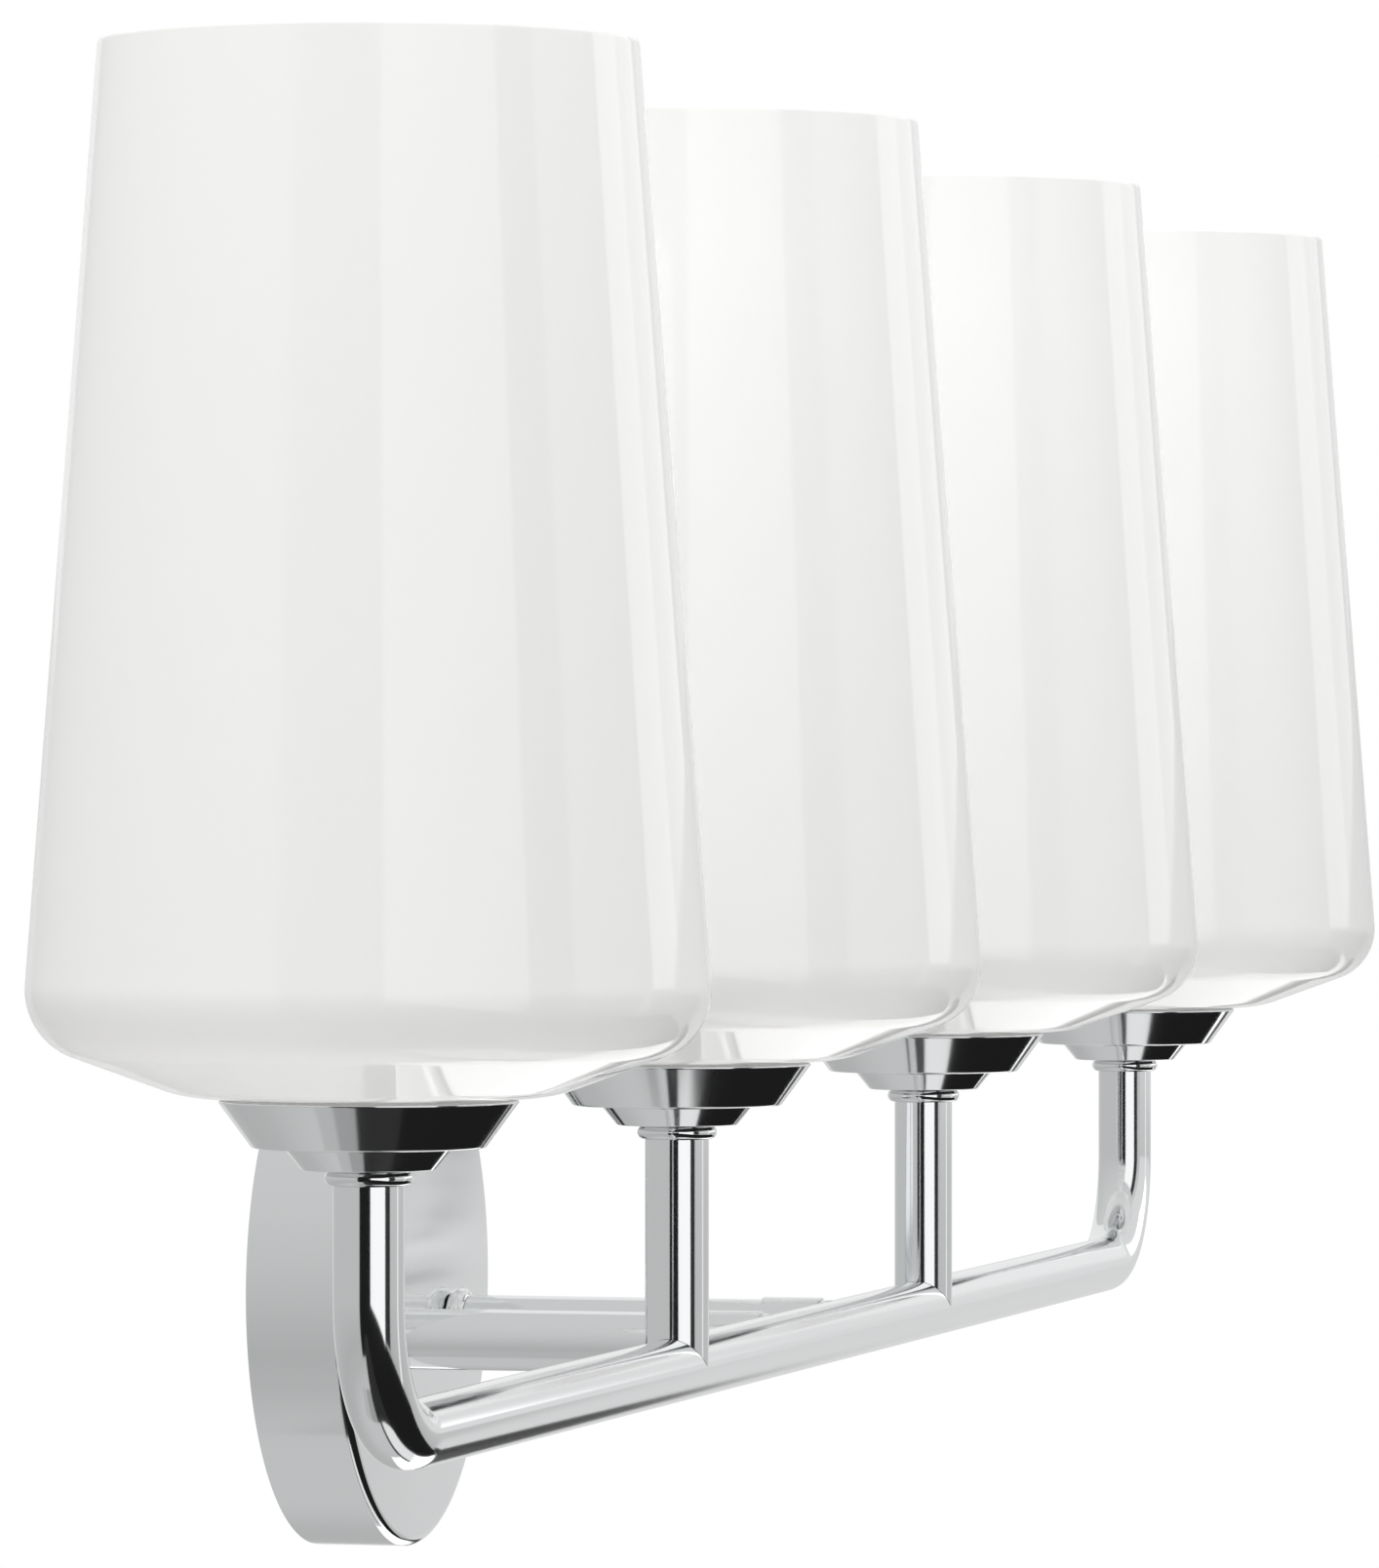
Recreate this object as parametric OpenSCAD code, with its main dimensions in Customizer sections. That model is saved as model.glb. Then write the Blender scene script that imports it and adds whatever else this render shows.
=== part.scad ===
// Four-light vanity bar: a bent chrome tube on two arms and a round canopy, with
// four up-facing cased-opal glass shades. Millimetres, +X along the bar, +Y into the
// wall, +Z up. The origin is the centre of the canopy's back, on the wall.

/* [Bar] */
// Outside diameter of the bar, posts and arms
tube_d = 14; // [12:0.5:16]
// Wall thickness of the tubes
tube_wall = 1; // [0.8:0.1:1.2]
// Distance between neighbouring lights
light_pitch = 234; // [180:1:280]
// Centreline radius of the bend at each end of the bar
bend_r = 28; // [18:1:30]
// Height of the posts' top ends above the bar's axis
post_h = 50.4; // [44:0.2:70]
// Distance from the wall to the bar's axis
bar_reach = 116.5; // [105:0.5:150]
// Distance of the bar's axis below the canopy's centre
bar_drop = 11; // [0:0.5:20]

/* [Canopy] */
// Diameter of the canopy
canopy_d = 122; // [120:1:130]
// Depth of the canopy from the wall
canopy_depth = 23; // [22:0.5:30]
// Sheet thickness of the canopy
canopy_wall = 1; // [0.8:0.1:1.2]
// Radius of the edge round the canopy's face
canopy_edge_r = 2.2; // [1.5:0.1:4]
// Distance between the two arms
arm_gap = 56; // [50:1:70]
// Distance between the slots for the outlet box
box_slot_gap = 88.9; // [83:0.1:90]

/* [Lamp holder] */
// Diameter of the bead rings on the posts and arms
bead_d = 17.4; // [16.6:0.1:20]
// Height of the bead rings on the posts
bead_h = 3.1; // [2.4:0.1:4]
// Width of the bead rings on the arms
arm_bead_w = 4.6; // [3:0.1:6]
// Lower diameter of the small holder cone
cone_low_d = 25.9; // [22:0.1:28]
// Upper diameter of the small holder cone
cone_top_d = 32.8; // [30:0.1:36]
// Height of the small holder cone
cone_h = 4.3; // [3.6:0.1:6]
// Lower diameter of the holder cup
cup_low_d = 45.5; // [43:0.1:48]
// Upper diameter of the holder cup
cup_top_d = 58.4; // [56:0.1:62]
// Height of the holder cup
cup_h = 9.2; // [8:0.1:12]

/* [Shade] */
// Greatest diameter of the shade
shade_d = 133.5; // [120:0.5:150]
// Diameter of the shade at its open top
shade_top_d = 105.5; // [90:0.5:115]
// Height of the shade
shade_h = 206; // [160:1:230]
// Diameter of the flat under the shade
shade_flat_d = 72; // [66:1:76]
// Slope of the shade's underside, in degrees
shade_slope = 20; // [15:1:25]
// Radius of the rounded lower corner of the shade
shade_corner_r = 14; // [10:1:16]
// Radius of the soft blend between the flat and the slope under the shade
shade_blend_r = 26; // [10:1:30]
// Thickness of the cased glass
shade_wall = 3.6; // [3:0.2:5]
// Diameter of the hole in the shade's base
shade_hole_d = 42; // [41.5:0.5:43]

/* [Lampholder] */
// Outside diameter of the lampholder's skirt
socket_d = 39; // [38.5:0.1:39.6]
// Height of the lampholder
socket_h = 50; // [46:1:54]
// Inside diameter of the lampholder's screw shell
shell_bore_d = 26.2; // [26.1:0.1:26.6]
// Outside diameter of the ring that clamps the shade
ring_d = 52; // [48:1:56]
// Height of the ring that clamps the shade
ring_h = 8; // [6:0.5:10]

/* [Hidden] */
$fn = 96;
clear = 0.05;            // radial clearance of nested pieces of one body
light_count = 4;
light_x = [for (i = [0 : light_count - 1]) (i - (light_count - 1) / 2) * light_pitch];
arm_x = [-arm_gap / 2, arm_gap / 2];
tube_r = tube_d / 2;
bore_r = tube_r - tube_wall;
bar_y = -bar_reach;
bar_z = -bar_drop;
post_top = bar_z + post_h;
face_y = -canopy_depth;

nipple_r = 4.85;         // M10 x 1 lamp nipple
nipple_bore_r = 3.5;
nipple_hole_r = nipple_r + clear;
bushing_len = 12;
bushing_r = bore_r - clear;

// heights of one light's stack
cone_z = post_top + bead_h;
cup_z = cone_z + cone_h;
cup_floor = 1.2;
seat_z = cup_z + cup_h;
gasket_t = 0.6;
shade_z = seat_z + gasket_t;
washer_t = 1;
socket_z = cup_z + cup_floor + washer_t;
socket_r = socket_d / 2;
socket_base_h = 15;      // solid base below the lampholder's cavity
contact_well = 2.6;      // the centre contact sits in a well in that base
lead_end = 9;            // how far up the base the leads go
socket_cavity_r = 14.4;
shell_z = socket_z + socket_base_h;
shell_wall = 0.8;
shell_h = 29;
shell_r = shell_bore_d / 2;

// arm joint at the canopy
stiffener_t = 2;
arm_start = face_y - arm_bead_w;
stiffener_y = face_y + canopy_wall;
lug_y = stiffener_y + stiffener_t;
lug_t = 0.8;
star_y = lug_y + lug_t;
nut_y = star_y + washer_t;
nut_t = 3;
nut_af = 14;
nipple_end = nut_y + nut_t + 1;
collar_len = 10.5;
collar_r = tube_r + 0.6;

// mounting plate
plate_t = 1.6;
plate_r = 57;
plate_hole_r = 17;
ear_w = 12;
ear_len = 14;
ear_out = canopy_d / 2 - canopy_wall - 0.7;
set_screw_r = 2;
set_screw_y = -9;
slot_w = 4.8;
slot_len = 14;
ground_z = -36;
ground_r = 1.9;

// wiring
lead_r = 1;
lead_off = 1.3;          // leads run in pairs, this far off the tube's axis
lead_bend = 4;
cap_r = 5.6;             // wire connector
cap_len = 20;
cap_z = 2;
cap_in = 8;              // how far a lead goes into a connector
black_y = -11.2;
white_y = -8.2;
cap_x = 8.5;
cap_step = 2.2;          // spacing of the leads in a connector's mouth

chrome = [0.80, 0.81, 0.83];
steel = [0.62, 0.63, 0.64];
zinc = [0.72, 0.72, 0.70];
brass = [0.80, 0.66, 0.36];
opal = [0.96, 0.96, 0.94];

// ---- helpers ----

function arc(centre, r, from, to, steps) =
    [for (i = [0 : steps]) let (a = from + (to - from) * i / steps)
        centre + r * [cos(a), sin(a)]];

function across(d) = abs(d.x) > 0.5 ? [0, 1, 0] : [1, 0, 0];

// Places its child so that the child's axes lie along x, y and z at point p
module set_at(p, x, y, z)
    multmatrix([[x.x, y.x, z.x, p.x], [x.y, y.y, z.y, p.y], [x.z, y.z, z.z, p.z], [0, 0, 0, 1]])
        children();

module at_light(i) translate([light_x[i], bar_y, 0]) children();

module at_lights() for (i = [0 : light_count - 1]) at_light(i) children();

// Turns +Z to point along -Y, away from the wall, at each arm's axis
module at_arms() for (x = arm_x) translate([x, 0, bar_z]) rotate([90, 0, 0]) children();

module washer(r_out, r_in, h) difference() {
    cylinder(r = r_out, h = h);
    translate([0, 0, -1]) cylinder(r = r_in, h = h + 2);
}

// Disc with a half-round edge and a hole
module bead(d, h, hole_r) rotate_extrude() union() {
    translate([hole_r, 0]) square([d / 2 - h / 2 - hole_r, h]);
    intersection() {
        translate([d / 2 - h / 2, h / 2]) circle(r = h / 2);
        translate([d / 2 - h / 2, 0]) square([h, h]);
    }
}

// The bar's centreline as a solid of radius r: straight run, two bends, two ends
module bar_solid(r, top) {
    run = light_x[light_count - 1] - bend_r;
    translate([-run, bar_y, bar_z]) rotate([0, 90, 0]) cylinder(r = r, h = 2 * run);
    for (side = [0, 1]) mirror([side, 0, 0]) {
        translate([run, bar_y, bar_z + bend_r]) rotate([90, 0, 0])
            rotate([0, 0, -90]) rotate_extrude(angle = 90)
                translate([bend_r, 0]) circle(r = r);
        translate([run + bend_r, bar_y, bar_z + bend_r])
            cylinder(r = r, h = top - bar_z - bend_r);
    }
}

// Straight rod of radius r between two points on a line along X, Y or Z
module rod(a, b, r) {
    d = (b - a) / norm(b - a);
    set_at(a, across(d), cross(d, across(d)), d) cylinder(r = r, h = norm(b - a));
}

// Lead along a route whose legs run along X, Y or Z; bends[i] rounds corner i
module lead(route, bends) {
    last = len(route) - 1;
    step = [for (i = [0 : last - 1]) (route[i + 1] - route[i]) / norm(route[i + 1] - route[i])];
    for (i = [0 : last - 1]) {
        start = route[i] + (i == 0 ? 0 : bends[i - 1]) * step[i];
        end = route[i + 1] - (i == last - 1 ? 0 : bends[i]) * step[i];
        rod(start, end, lead_r);
    }
    for (i = [1 : last - 1]) {
        a = step[i - 1];
        b = step[i];
        set_at(route[i] + bends[i - 1] * (b - a), -b, a, cross(-b, a))
            rotate_extrude(angle = 90) translate([bends[i - 1], 0]) circle(r = lead_r);
    }
}

// ---- bar and posts ----

module bar_tube() color(chrome) difference() {
    bar_solid(tube_r, post_top);
    bar_solid(bore_r, post_top + 1);
    for (i = [1 : light_count - 2]) translate([light_x[i], bar_y, bar_z])
        cylinder(r = nipple_r, h = tube_d);
    for (x = arm_x) translate([x, bar_y, bar_z]) rotate([-90, 0, 0])
        cylinder(r = nipple_r, h = tube_d);
}

module inner_post(i) color(chrome) translate([light_x[i], bar_y, bar_z]) difference() {
    cylinder(r = tube_r, h = post_h);
    translate([0, 0, -1]) cylinder(r = bore_r, h = post_h + 2);
    translate([-tube_d, 0, 0]) rotate([0, 90, 0]) cylinder(r = tube_r + clear, h = 2 * tube_d);
}
module inner_post_left() inner_post(1);
module inner_post_right() inner_post(2);

module post_bushings() color(brass) at_lights()
    translate([0, 0, post_top - bushing_len]) washer(bushing_r, nipple_hole_r, bushing_len);

// ---- arms ----

module arm(side) color(chrome) translate([arm_x[side], 0, bar_z]) difference() {
    rotate([90, 0, 0]) translate([0, 0, -arm_start]) cylinder(r = tube_r, h = bar_reach + arm_start);
    rotate([90, 0, 0]) translate([0, 0, -arm_start - 1]) cylinder(r = bore_r, h = bar_reach);
    translate([-tube_d, bar_y, 0]) rotate([0, 90, 0]) cylinder(r = tube_r + clear, h = 2 * tube_d);
}
module arm_left() arm(0);
module arm_right() arm(1);

module arm_bead(side) color(chrome) translate([arm_x[side], face_y, bar_z])
    rotate([90, 0, 0]) bead(bead_d, arm_bead_w, nipple_hole_r);
module arm_bead_left() arm_bead(0);
module arm_bead_right() arm_bead(1);

// Brazed sleeves where the arms meet the bar, coped to the bar's round side
module arm_collars() color(chrome) difference() {
    at_arms() translate([0, 0, bar_reach - tube_r - collar_len])
        washer(collar_r, tube_r + clear, collar_len + tube_r / 2);
    translate([-arm_gap, bar_y, bar_z]) rotate([0, 90, 0])
        cylinder(r = tube_r + clear, h = 2 * arm_gap);
}

module arm_bushings() color(brass) at_arms() translate([0, 0, -arm_start])
    washer(bushing_r, nipple_hole_r, bushing_len);

module arm_nipples() color(zinc) at_arms() translate([0, 0, -nipple_end])
    washer(nipple_r, nipple_bore_r, nipple_end - arm_start + bushing_len - 1);

module arm_star_washers() color(zinc) at_arms() translate([0, 0, -nut_y]) difference() {
    washer(8, nipple_hole_r, washer_t);
    for (a = [0 : 30 : 330]) rotate([0, 0, a]) translate([8, 0, -1])
        cylinder(r = 0.8, h = washer_t + 2);
}

module arm_nuts() color(zinc) at_arms() translate([0, 0, -nut_y - nut_t]) difference() {
    cylinder(d = nut_af / cos(30), h = nut_t, $fn = 6);
    translate([0, 0, -1]) cylinder(r = nipple_hole_r, h = nut_t + 2);
}

// ---- canopy and mounting ----

module canopy() color(chrome) {
    r = canopy_d / 2;
    e = canopy_edge_r;
    outside = concat([[0, 0], [r, 0]], arc([r - e, canopy_depth - e], e, 0, 90, 8),
        [[0, canopy_depth]]);
    w = canopy_wall;
    inside = concat([[0, -1], [r - w, -1]], arc([r - e, canopy_depth - e], e - w, 0, 90, 8),
        [[0, canopy_depth - w]]);
    difference() {
        rotate([90, 0, 0]) rotate_extrude() difference() {
            polygon(outside);
            polygon(inside);
        }
        at_arms() cylinder(r = nipple_hole_r, h = 2 * canopy_depth);
        translate([0, set_screw_y, -canopy_d]) cylinder(r = set_screw_r + 0.1, h = 2 * canopy_d);
    }
}

module canopy_stiffener() color(steel) difference() {
    translate([-arm_gap / 2 - 13, stiffener_y, bar_z - 13]) cube([arm_gap + 26, stiffener_t, 26]);
    at_arms() cylinder(r = nipple_hole_r, h = canopy_depth);
}

module mounting_plate() color(steel) difference() {
    union() {
        rotate([90, 0, 0]) cylinder(r = plate_r, h = plate_t);
        for (side = [0, 1]) mirror([0, 0, side]) {
            translate([-ear_w / 2, -plate_t, plate_r - 8]) cube([ear_w, plate_t, ear_out - plate_r + 8]);
            translate([-ear_w / 2, -ear_len, ear_out - plate_t]) cube([ear_w, ear_len, plate_t]);
        }
    }
    rotate([90, 0, 0]) translate([0, 0, -1]) cylinder(r = plate_hole_r, h = plate_t + 2);
    translate([0, 0, ground_z]) rotate([90, 0, 0]) translate([0, 0, -1])
        cylinder(r = ground_r + clear, h = plate_t + 2);
    for (side = [-1, 1]) translate([side * box_slot_gap / 2, 1, 0]) rotate([90, 0, 0]) {
        for (end = [-1, 1]) translate([end * (slot_len - slot_w) / 2, 0, 0])
            cylinder(d = slot_w, h = plate_t + 2);
        translate([-(slot_len - slot_w) / 2, -slot_w / 2, 0])
            cube([slot_len - slot_w, slot_w, plate_t + 2]);
    }
    translate([0, set_screw_y, -canopy_d]) cylinder(r = set_screw_r + clear, h = 2 * canopy_d);
}

// Flush set screws with hexagon sockets, above and below
module canopy_set_screws() color(zinc) for (side = [0, 1]) mirror([0, 0, side])
    translate([0, set_screw_y, canopy_d / 2 - 6.2]) difference() {
        cylinder(r = set_screw_r, h = 6);
        translate([0, 0, 4]) cylinder(d = 2.3, h = 3, $fn = 6);
    }

module ground_screw() color([0.10, 0.45, 0.22]) translate([0, 0, ground_z])
    rotate([90, 0, 0]) difference() {
        union() {
            cylinder(r = ground_r, h = plate_t + lug_t);
            translate([0, 0, plate_t + lug_t]) cylinder(r = 4, h = 2.4);
        }
        translate([-5, -0.5, plate_t + lug_t + 1.4]) cube([10, 1, 2]);
    }

// Bare ground wire from the plate's screw to a lug under the left arm's nut
module ground_lead() color([0.80, 0.48, 0.30]) {
    wire_y = -plate_t - lug_t - 1.4;
    tag_z = bar_z - 12;
    translate([0, 0, ground_z]) rotate([90, 0, 0]) translate([0, 0, plate_t])
        washer(4.2, ground_r + clear, lug_t);
    translate([arm_x[0], lug_y + lug_t, bar_z]) rotate([90, 0, 0]) washer(8.4, nipple_hole_r, lug_t);
    translate([arm_x[0] - 1.5, lug_y, tag_z - 1.5]) cube([3, lug_t, 6]);
    translate([-7, wire_y, ground_z - 1]) cube([3, 2.2, 2]);
    lead([[-6, wire_y, ground_z], [arm_x[0], wire_y, ground_z], [arm_x[0], wire_y, tag_z],
        [arm_x[0], lug_y + lug_t / 2, tag_z]], [lead_bend, lead_bend]);
}

// ---- wiring ----

// Route of one lead from the lampholder of light i (left half of the bar) to the
// connector at x = cap, entering its mouth at offset step. side is +1 for the lead
// nearer the bar's middle in the arm, and -1 for the other.
module light_lead(i, side, turn_y, cap, step) {
    down = i == 0 ? -lead_off : lead_off;
    dy = -side * lead_off;
    y = bar_y + dy;
    x = arm_x[0] + side * lead_off;
    z = bar_z + down;
    post_bend = i == 0 ? bend_r : lead_bend;
    lead([[light_x[i], y, socket_z + lead_end], [light_x[i], y, z], [x, y, z],
        [x, turn_y, z], [cap + step, turn_y, z], [cap + step, turn_y, cap_z + cap_in]],
        [post_bend, lead_bend, lead_bend - 1, lead_bend - 1]);
}

module both_halves_leads(side, turn_y, cap) {
    for (i = [0, 1]) {
        step = (i == 0 ? 0.5 : 1.5) * cap_step;
        light_lead(i, side, turn_y, cap, -step);
        mirror([1, 0, 0]) light_lead(i, side, turn_y, -cap, -step);
    }
}
module black_leads() color([0.06, 0.06, 0.06]) both_halves_leads(1, black_y, -cap_x);
module white_leads() color([0.92, 0.92, 0.90]) both_halves_leads(-1, white_y, cap_x);

module wire_connectors() color([0.85, 0.45, 0.10]) for (side = [-1, 1])
    translate([side * cap_x, side < 0 ? black_y : white_y, cap_z]) difference() {
        cylinder(r1 = cap_r, r2 = cap_r * 0.72, h = cap_len);
        translate([0, 0, -1]) cylinder(r = cap_r - 1, h = 13);
    }

// ---- holders ----

module bead_ring(i) color(chrome) at_light(i) translate([0, 0, post_top])
    bead(bead_d, bead_h, nipple_hole_r);
module bead_ring_1() bead_ring(0);
module bead_ring_2() bead_ring(1);
module bead_ring_3() bead_ring(2);
module bead_ring_4() bead_ring(3);

module holder_cone(i) color(chrome) at_light(i) translate([0, 0, cone_z]) rotate_extrude()
    polygon([[nipple_hole_r, 0], [cone_low_d / 2 - 0.4, 0], [cone_low_d / 2, 0.4],
        [cone_top_d / 2, cone_h - 0.5], [cone_top_d / 2, cone_h], [nipple_hole_r, cone_h]]);
module holder_cone_1() holder_cone(0);
module holder_cone_2() holder_cone(1);
module holder_cone_3() holder_cone(2);
module holder_cone_4() holder_cone(3);

// Spun cup with a lip turned inwards, on which the gasket and the glass sit
module holder_cup(i) color(chrome) at_light(i) translate([0, 0, cup_z]) rotate_extrude()
    polygon([[nipple_hole_r, 0], [cup_low_d / 2 - 0.5, 0], [cup_low_d / 2, 0.5],
        [cup_top_d / 2, cup_h - 0.7], [cup_top_d / 2, cup_h], [cup_top_d / 2 - 3.2, cup_h],
        [cup_top_d / 2 - 3.2, cup_h - 1], [cup_top_d / 2 - 1.8, cup_h - 1.2],
        [cup_low_d / 2 - 1.4, cup_floor], [nipple_hole_r, cup_floor]]);
module holder_cup_1() holder_cup(0);
module holder_cup_2() holder_cup(1);
module holder_cup_3() holder_cup(2);
module holder_cup_4() holder_cup(3);

module shade_gaskets() color([0.90, 0.90, 0.88]) at_lights() translate([0, 0, seat_z])
    washer(cup_top_d / 2 - 0.3, shade_hole_d / 2 + 0.5, gasket_t);

// ---- lampholders ----

module socket_nipples() color(zinc) at_lights() translate([0, 0, post_top - bushing_len + 2])
    washer(nipple_r, nipple_bore_r, socket_z + 8 - post_top + bushing_len - 2);

module socket_washers() color(zinc) at_lights() translate([0, 0, socket_z - washer_t])
    washer(9, nipple_hole_r, washer_t);

module socket_body(i) color([0.93, 0.92, 0.88]) at_light(i) translate([0, 0, socket_z])
    difference() {
        cylinder(r = socket_r, h = socket_h);
        translate([0, 0, socket_base_h]) cylinder(r = socket_cavity_r, h = socket_h);
        translate([0, 0, socket_base_h - contact_well]) cylinder(r = 6.5, h = socket_h);
        translate([0, 0, -1]) cylinder(r = nipple_hole_r, h = 9.2);
        for (side = [-1, 1]) translate([0, side * lead_off, 0])
            cylinder(r = lead_r + 0.1, h = lead_end + 0.1);
    }
module socket_body_1() socket_body(0);
module socket_body_2() socket_body(1);
module socket_body_3() socket_body(2);
module socket_body_4() socket_body(3);

module socket_shell(i) color(brass) at_light(i) translate([0, 0, shell_z]) difference() {
    cylinder(r = shell_r + shell_wall, h = shell_h);
    translate([0, 0, shell_wall]) cylinder(r = shell_r, h = shell_h);
    translate([0, 0, -1]) cylinder(r = 7, h = 3);
}
module socket_shell_1() socket_shell(0);
module socket_shell_2() socket_shell(1);
module socket_shell_3() socket_shell(2);
module socket_shell_4() socket_shell(3);

// Centre contact: a riveted stud with a sprung tongue
module socket_contacts() color(brass) at_lights() translate([0, 0, shell_z - contact_well]) {
    cylinder(r = 4, h = 1.2);
    translate([-2, -3.5, 1.2]) cube([4, 7, 0.6]);
    translate([0, 0, 1.8]) cylinder(r = 1.9, h = 1);
}

// ---- shades ----

module glass_shade(i) color(opal) at_light(i) translate([0, 0, shade_z]) {
    t = shade_wall;
    flat_r = shade_flat_d / 2;
    low = shade_slope - 90;                     // where the slope leaves the corner's arc
    foot_x = shade_d / 2 - shade_corner_r;
    slope_x = foot_x + shade_corner_r * cos(low);
    foot = [foot_x, (slope_x - flat_r) * tan(shade_slope) - shade_corner_r * sin(low)];
    rim = [shade_top_d / 2 - t / 2, shade_h - t / 2];
    way = rim - foot;
    lean = atan2(way.y, way.x) - acos((shade_corner_r - t / 2) / norm(way));
    blend = [flat_r - shade_blend_r * tan(shade_slope / 2), shade_blend_r];
    rotate_extrude() polygon(concat(
        [[shade_hole_d / 2, 0]],
        arc(blend, shade_blend_r, -90, low, 4),
        arc(foot, shade_corner_r, low, lean, 10),
        arc(rim, t / 2, lean, 180 + lean, 8),
        arc(foot, shade_corner_r - t, lean, low, 10),
        arc(blend, shade_blend_r - t, low, -90, 4),
        [[shade_hole_d / 2, t]]));
}
module glass_shade_1() glass_shade(0);
module glass_shade_2() glass_shade(1);
module glass_shade_3() glass_shade(2);
module glass_shade_4() glass_shade(3);

// Ring that screws down the lampholder's skirt and clamps the glass, with grip notches
module shade_ring(i) color([0.93, 0.92, 0.88]) at_light(i)
    translate([0, 0, shade_z + shade_wall]) difference() {
        union() {
            cylinder(r = ring_d / 2, h = 2);
            cylinder(r = ring_d / 2 - 2.6, h = ring_h);
        }
        translate([0, 0, -1]) cylinder(r = socket_r + 0.4, h = ring_h + 2);
        for (a = [0 : 30 : 330]) rotate([0, 0, a]) translate([ring_d / 2 - 2, 0, 2.6])
            cylinder(r = 1.2, h = ring_h);
    }
module shade_ring_1() shade_ring(0);
module shade_ring_2() shade_ring(1);
module shade_ring_3() shade_ring(2);
module shade_ring_4() shade_ring(3);

bar_tube();
inner_post_left();
inner_post_right();
post_bushings();
arm_left();
arm_right();
arm_bead_left();
arm_bead_right();
arm_collars();
arm_bushings();
arm_nipples();
arm_star_washers();
arm_nuts();
canopy();
canopy_stiffener();
mounting_plate();
canopy_set_screws();
ground_screw();
ground_lead();
black_leads();
white_leads();
wire_connectors();
bead_ring_1();
bead_ring_2();
bead_ring_3();
bead_ring_4();
holder_cone_1();
holder_cone_2();
holder_cone_3();
holder_cone_4();
holder_cup_1();
holder_cup_2();
holder_cup_3();
holder_cup_4();
shade_gaskets();
socket_nipples();
socket_washers();
socket_body_1();
socket_body_2();
socket_body_3();
socket_body_4();
socket_shell_1();
socket_shell_2();
socket_shell_3();
socket_shell_4();
socket_contacts();
glass_shade_1();
glass_shade_2();
glass_shade_3();
glass_shade_4();
shade_ring_1();
shade_ring_2();
shade_ring_3();
shade_ring_4();
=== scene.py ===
"""Looks of a four-light vanity bar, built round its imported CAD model.

The bar is a bent chrome tube on two arms and a round canopy. Each of its four lights
has a chrome holder, a porcelain lampholder and an up-facing shade of cased opal glass.
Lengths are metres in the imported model's frame: +X along the bar, +Y into the wall, +Z up.
"""

import logging
import math
from dataclasses import dataclass
from enum import Enum
from typing import Iterable, Sequence

import bmesh
import bpy
from mathutils import Matrix, Vector

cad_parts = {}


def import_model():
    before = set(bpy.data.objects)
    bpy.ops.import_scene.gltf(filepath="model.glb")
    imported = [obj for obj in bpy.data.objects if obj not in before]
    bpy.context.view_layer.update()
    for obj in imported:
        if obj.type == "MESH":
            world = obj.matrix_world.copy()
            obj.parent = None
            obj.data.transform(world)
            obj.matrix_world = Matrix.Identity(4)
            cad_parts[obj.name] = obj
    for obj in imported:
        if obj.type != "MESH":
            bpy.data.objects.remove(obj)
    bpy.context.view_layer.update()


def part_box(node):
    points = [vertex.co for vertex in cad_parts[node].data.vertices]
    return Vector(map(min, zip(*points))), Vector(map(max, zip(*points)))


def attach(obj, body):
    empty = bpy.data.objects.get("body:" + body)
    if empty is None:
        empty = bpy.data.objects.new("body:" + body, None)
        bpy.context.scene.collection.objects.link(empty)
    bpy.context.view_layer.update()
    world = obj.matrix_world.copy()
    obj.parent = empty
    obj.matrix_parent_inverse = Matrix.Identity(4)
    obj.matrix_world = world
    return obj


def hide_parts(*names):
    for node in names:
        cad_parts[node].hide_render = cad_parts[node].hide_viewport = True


log = logging.getLogger("vanity_bar")

Rgb = tuple[float, float, float]
Point = tuple[float, float]
Faces = list[bmesh.types.BMFace]

LIGHT_COUNT = 4
VIEW_ANGLE = math.radians(14.75)  # the camera looks this far round from along the bar
WELD = 1e-6  # vertices closer than this are one
FLAT = math.radians(0.5)  # faces that meet at less than this angle are one
BEAD_STEPS = 14  # how many pieces each quarter of a bead ring's round edge has


# ---- finishes ----


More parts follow.
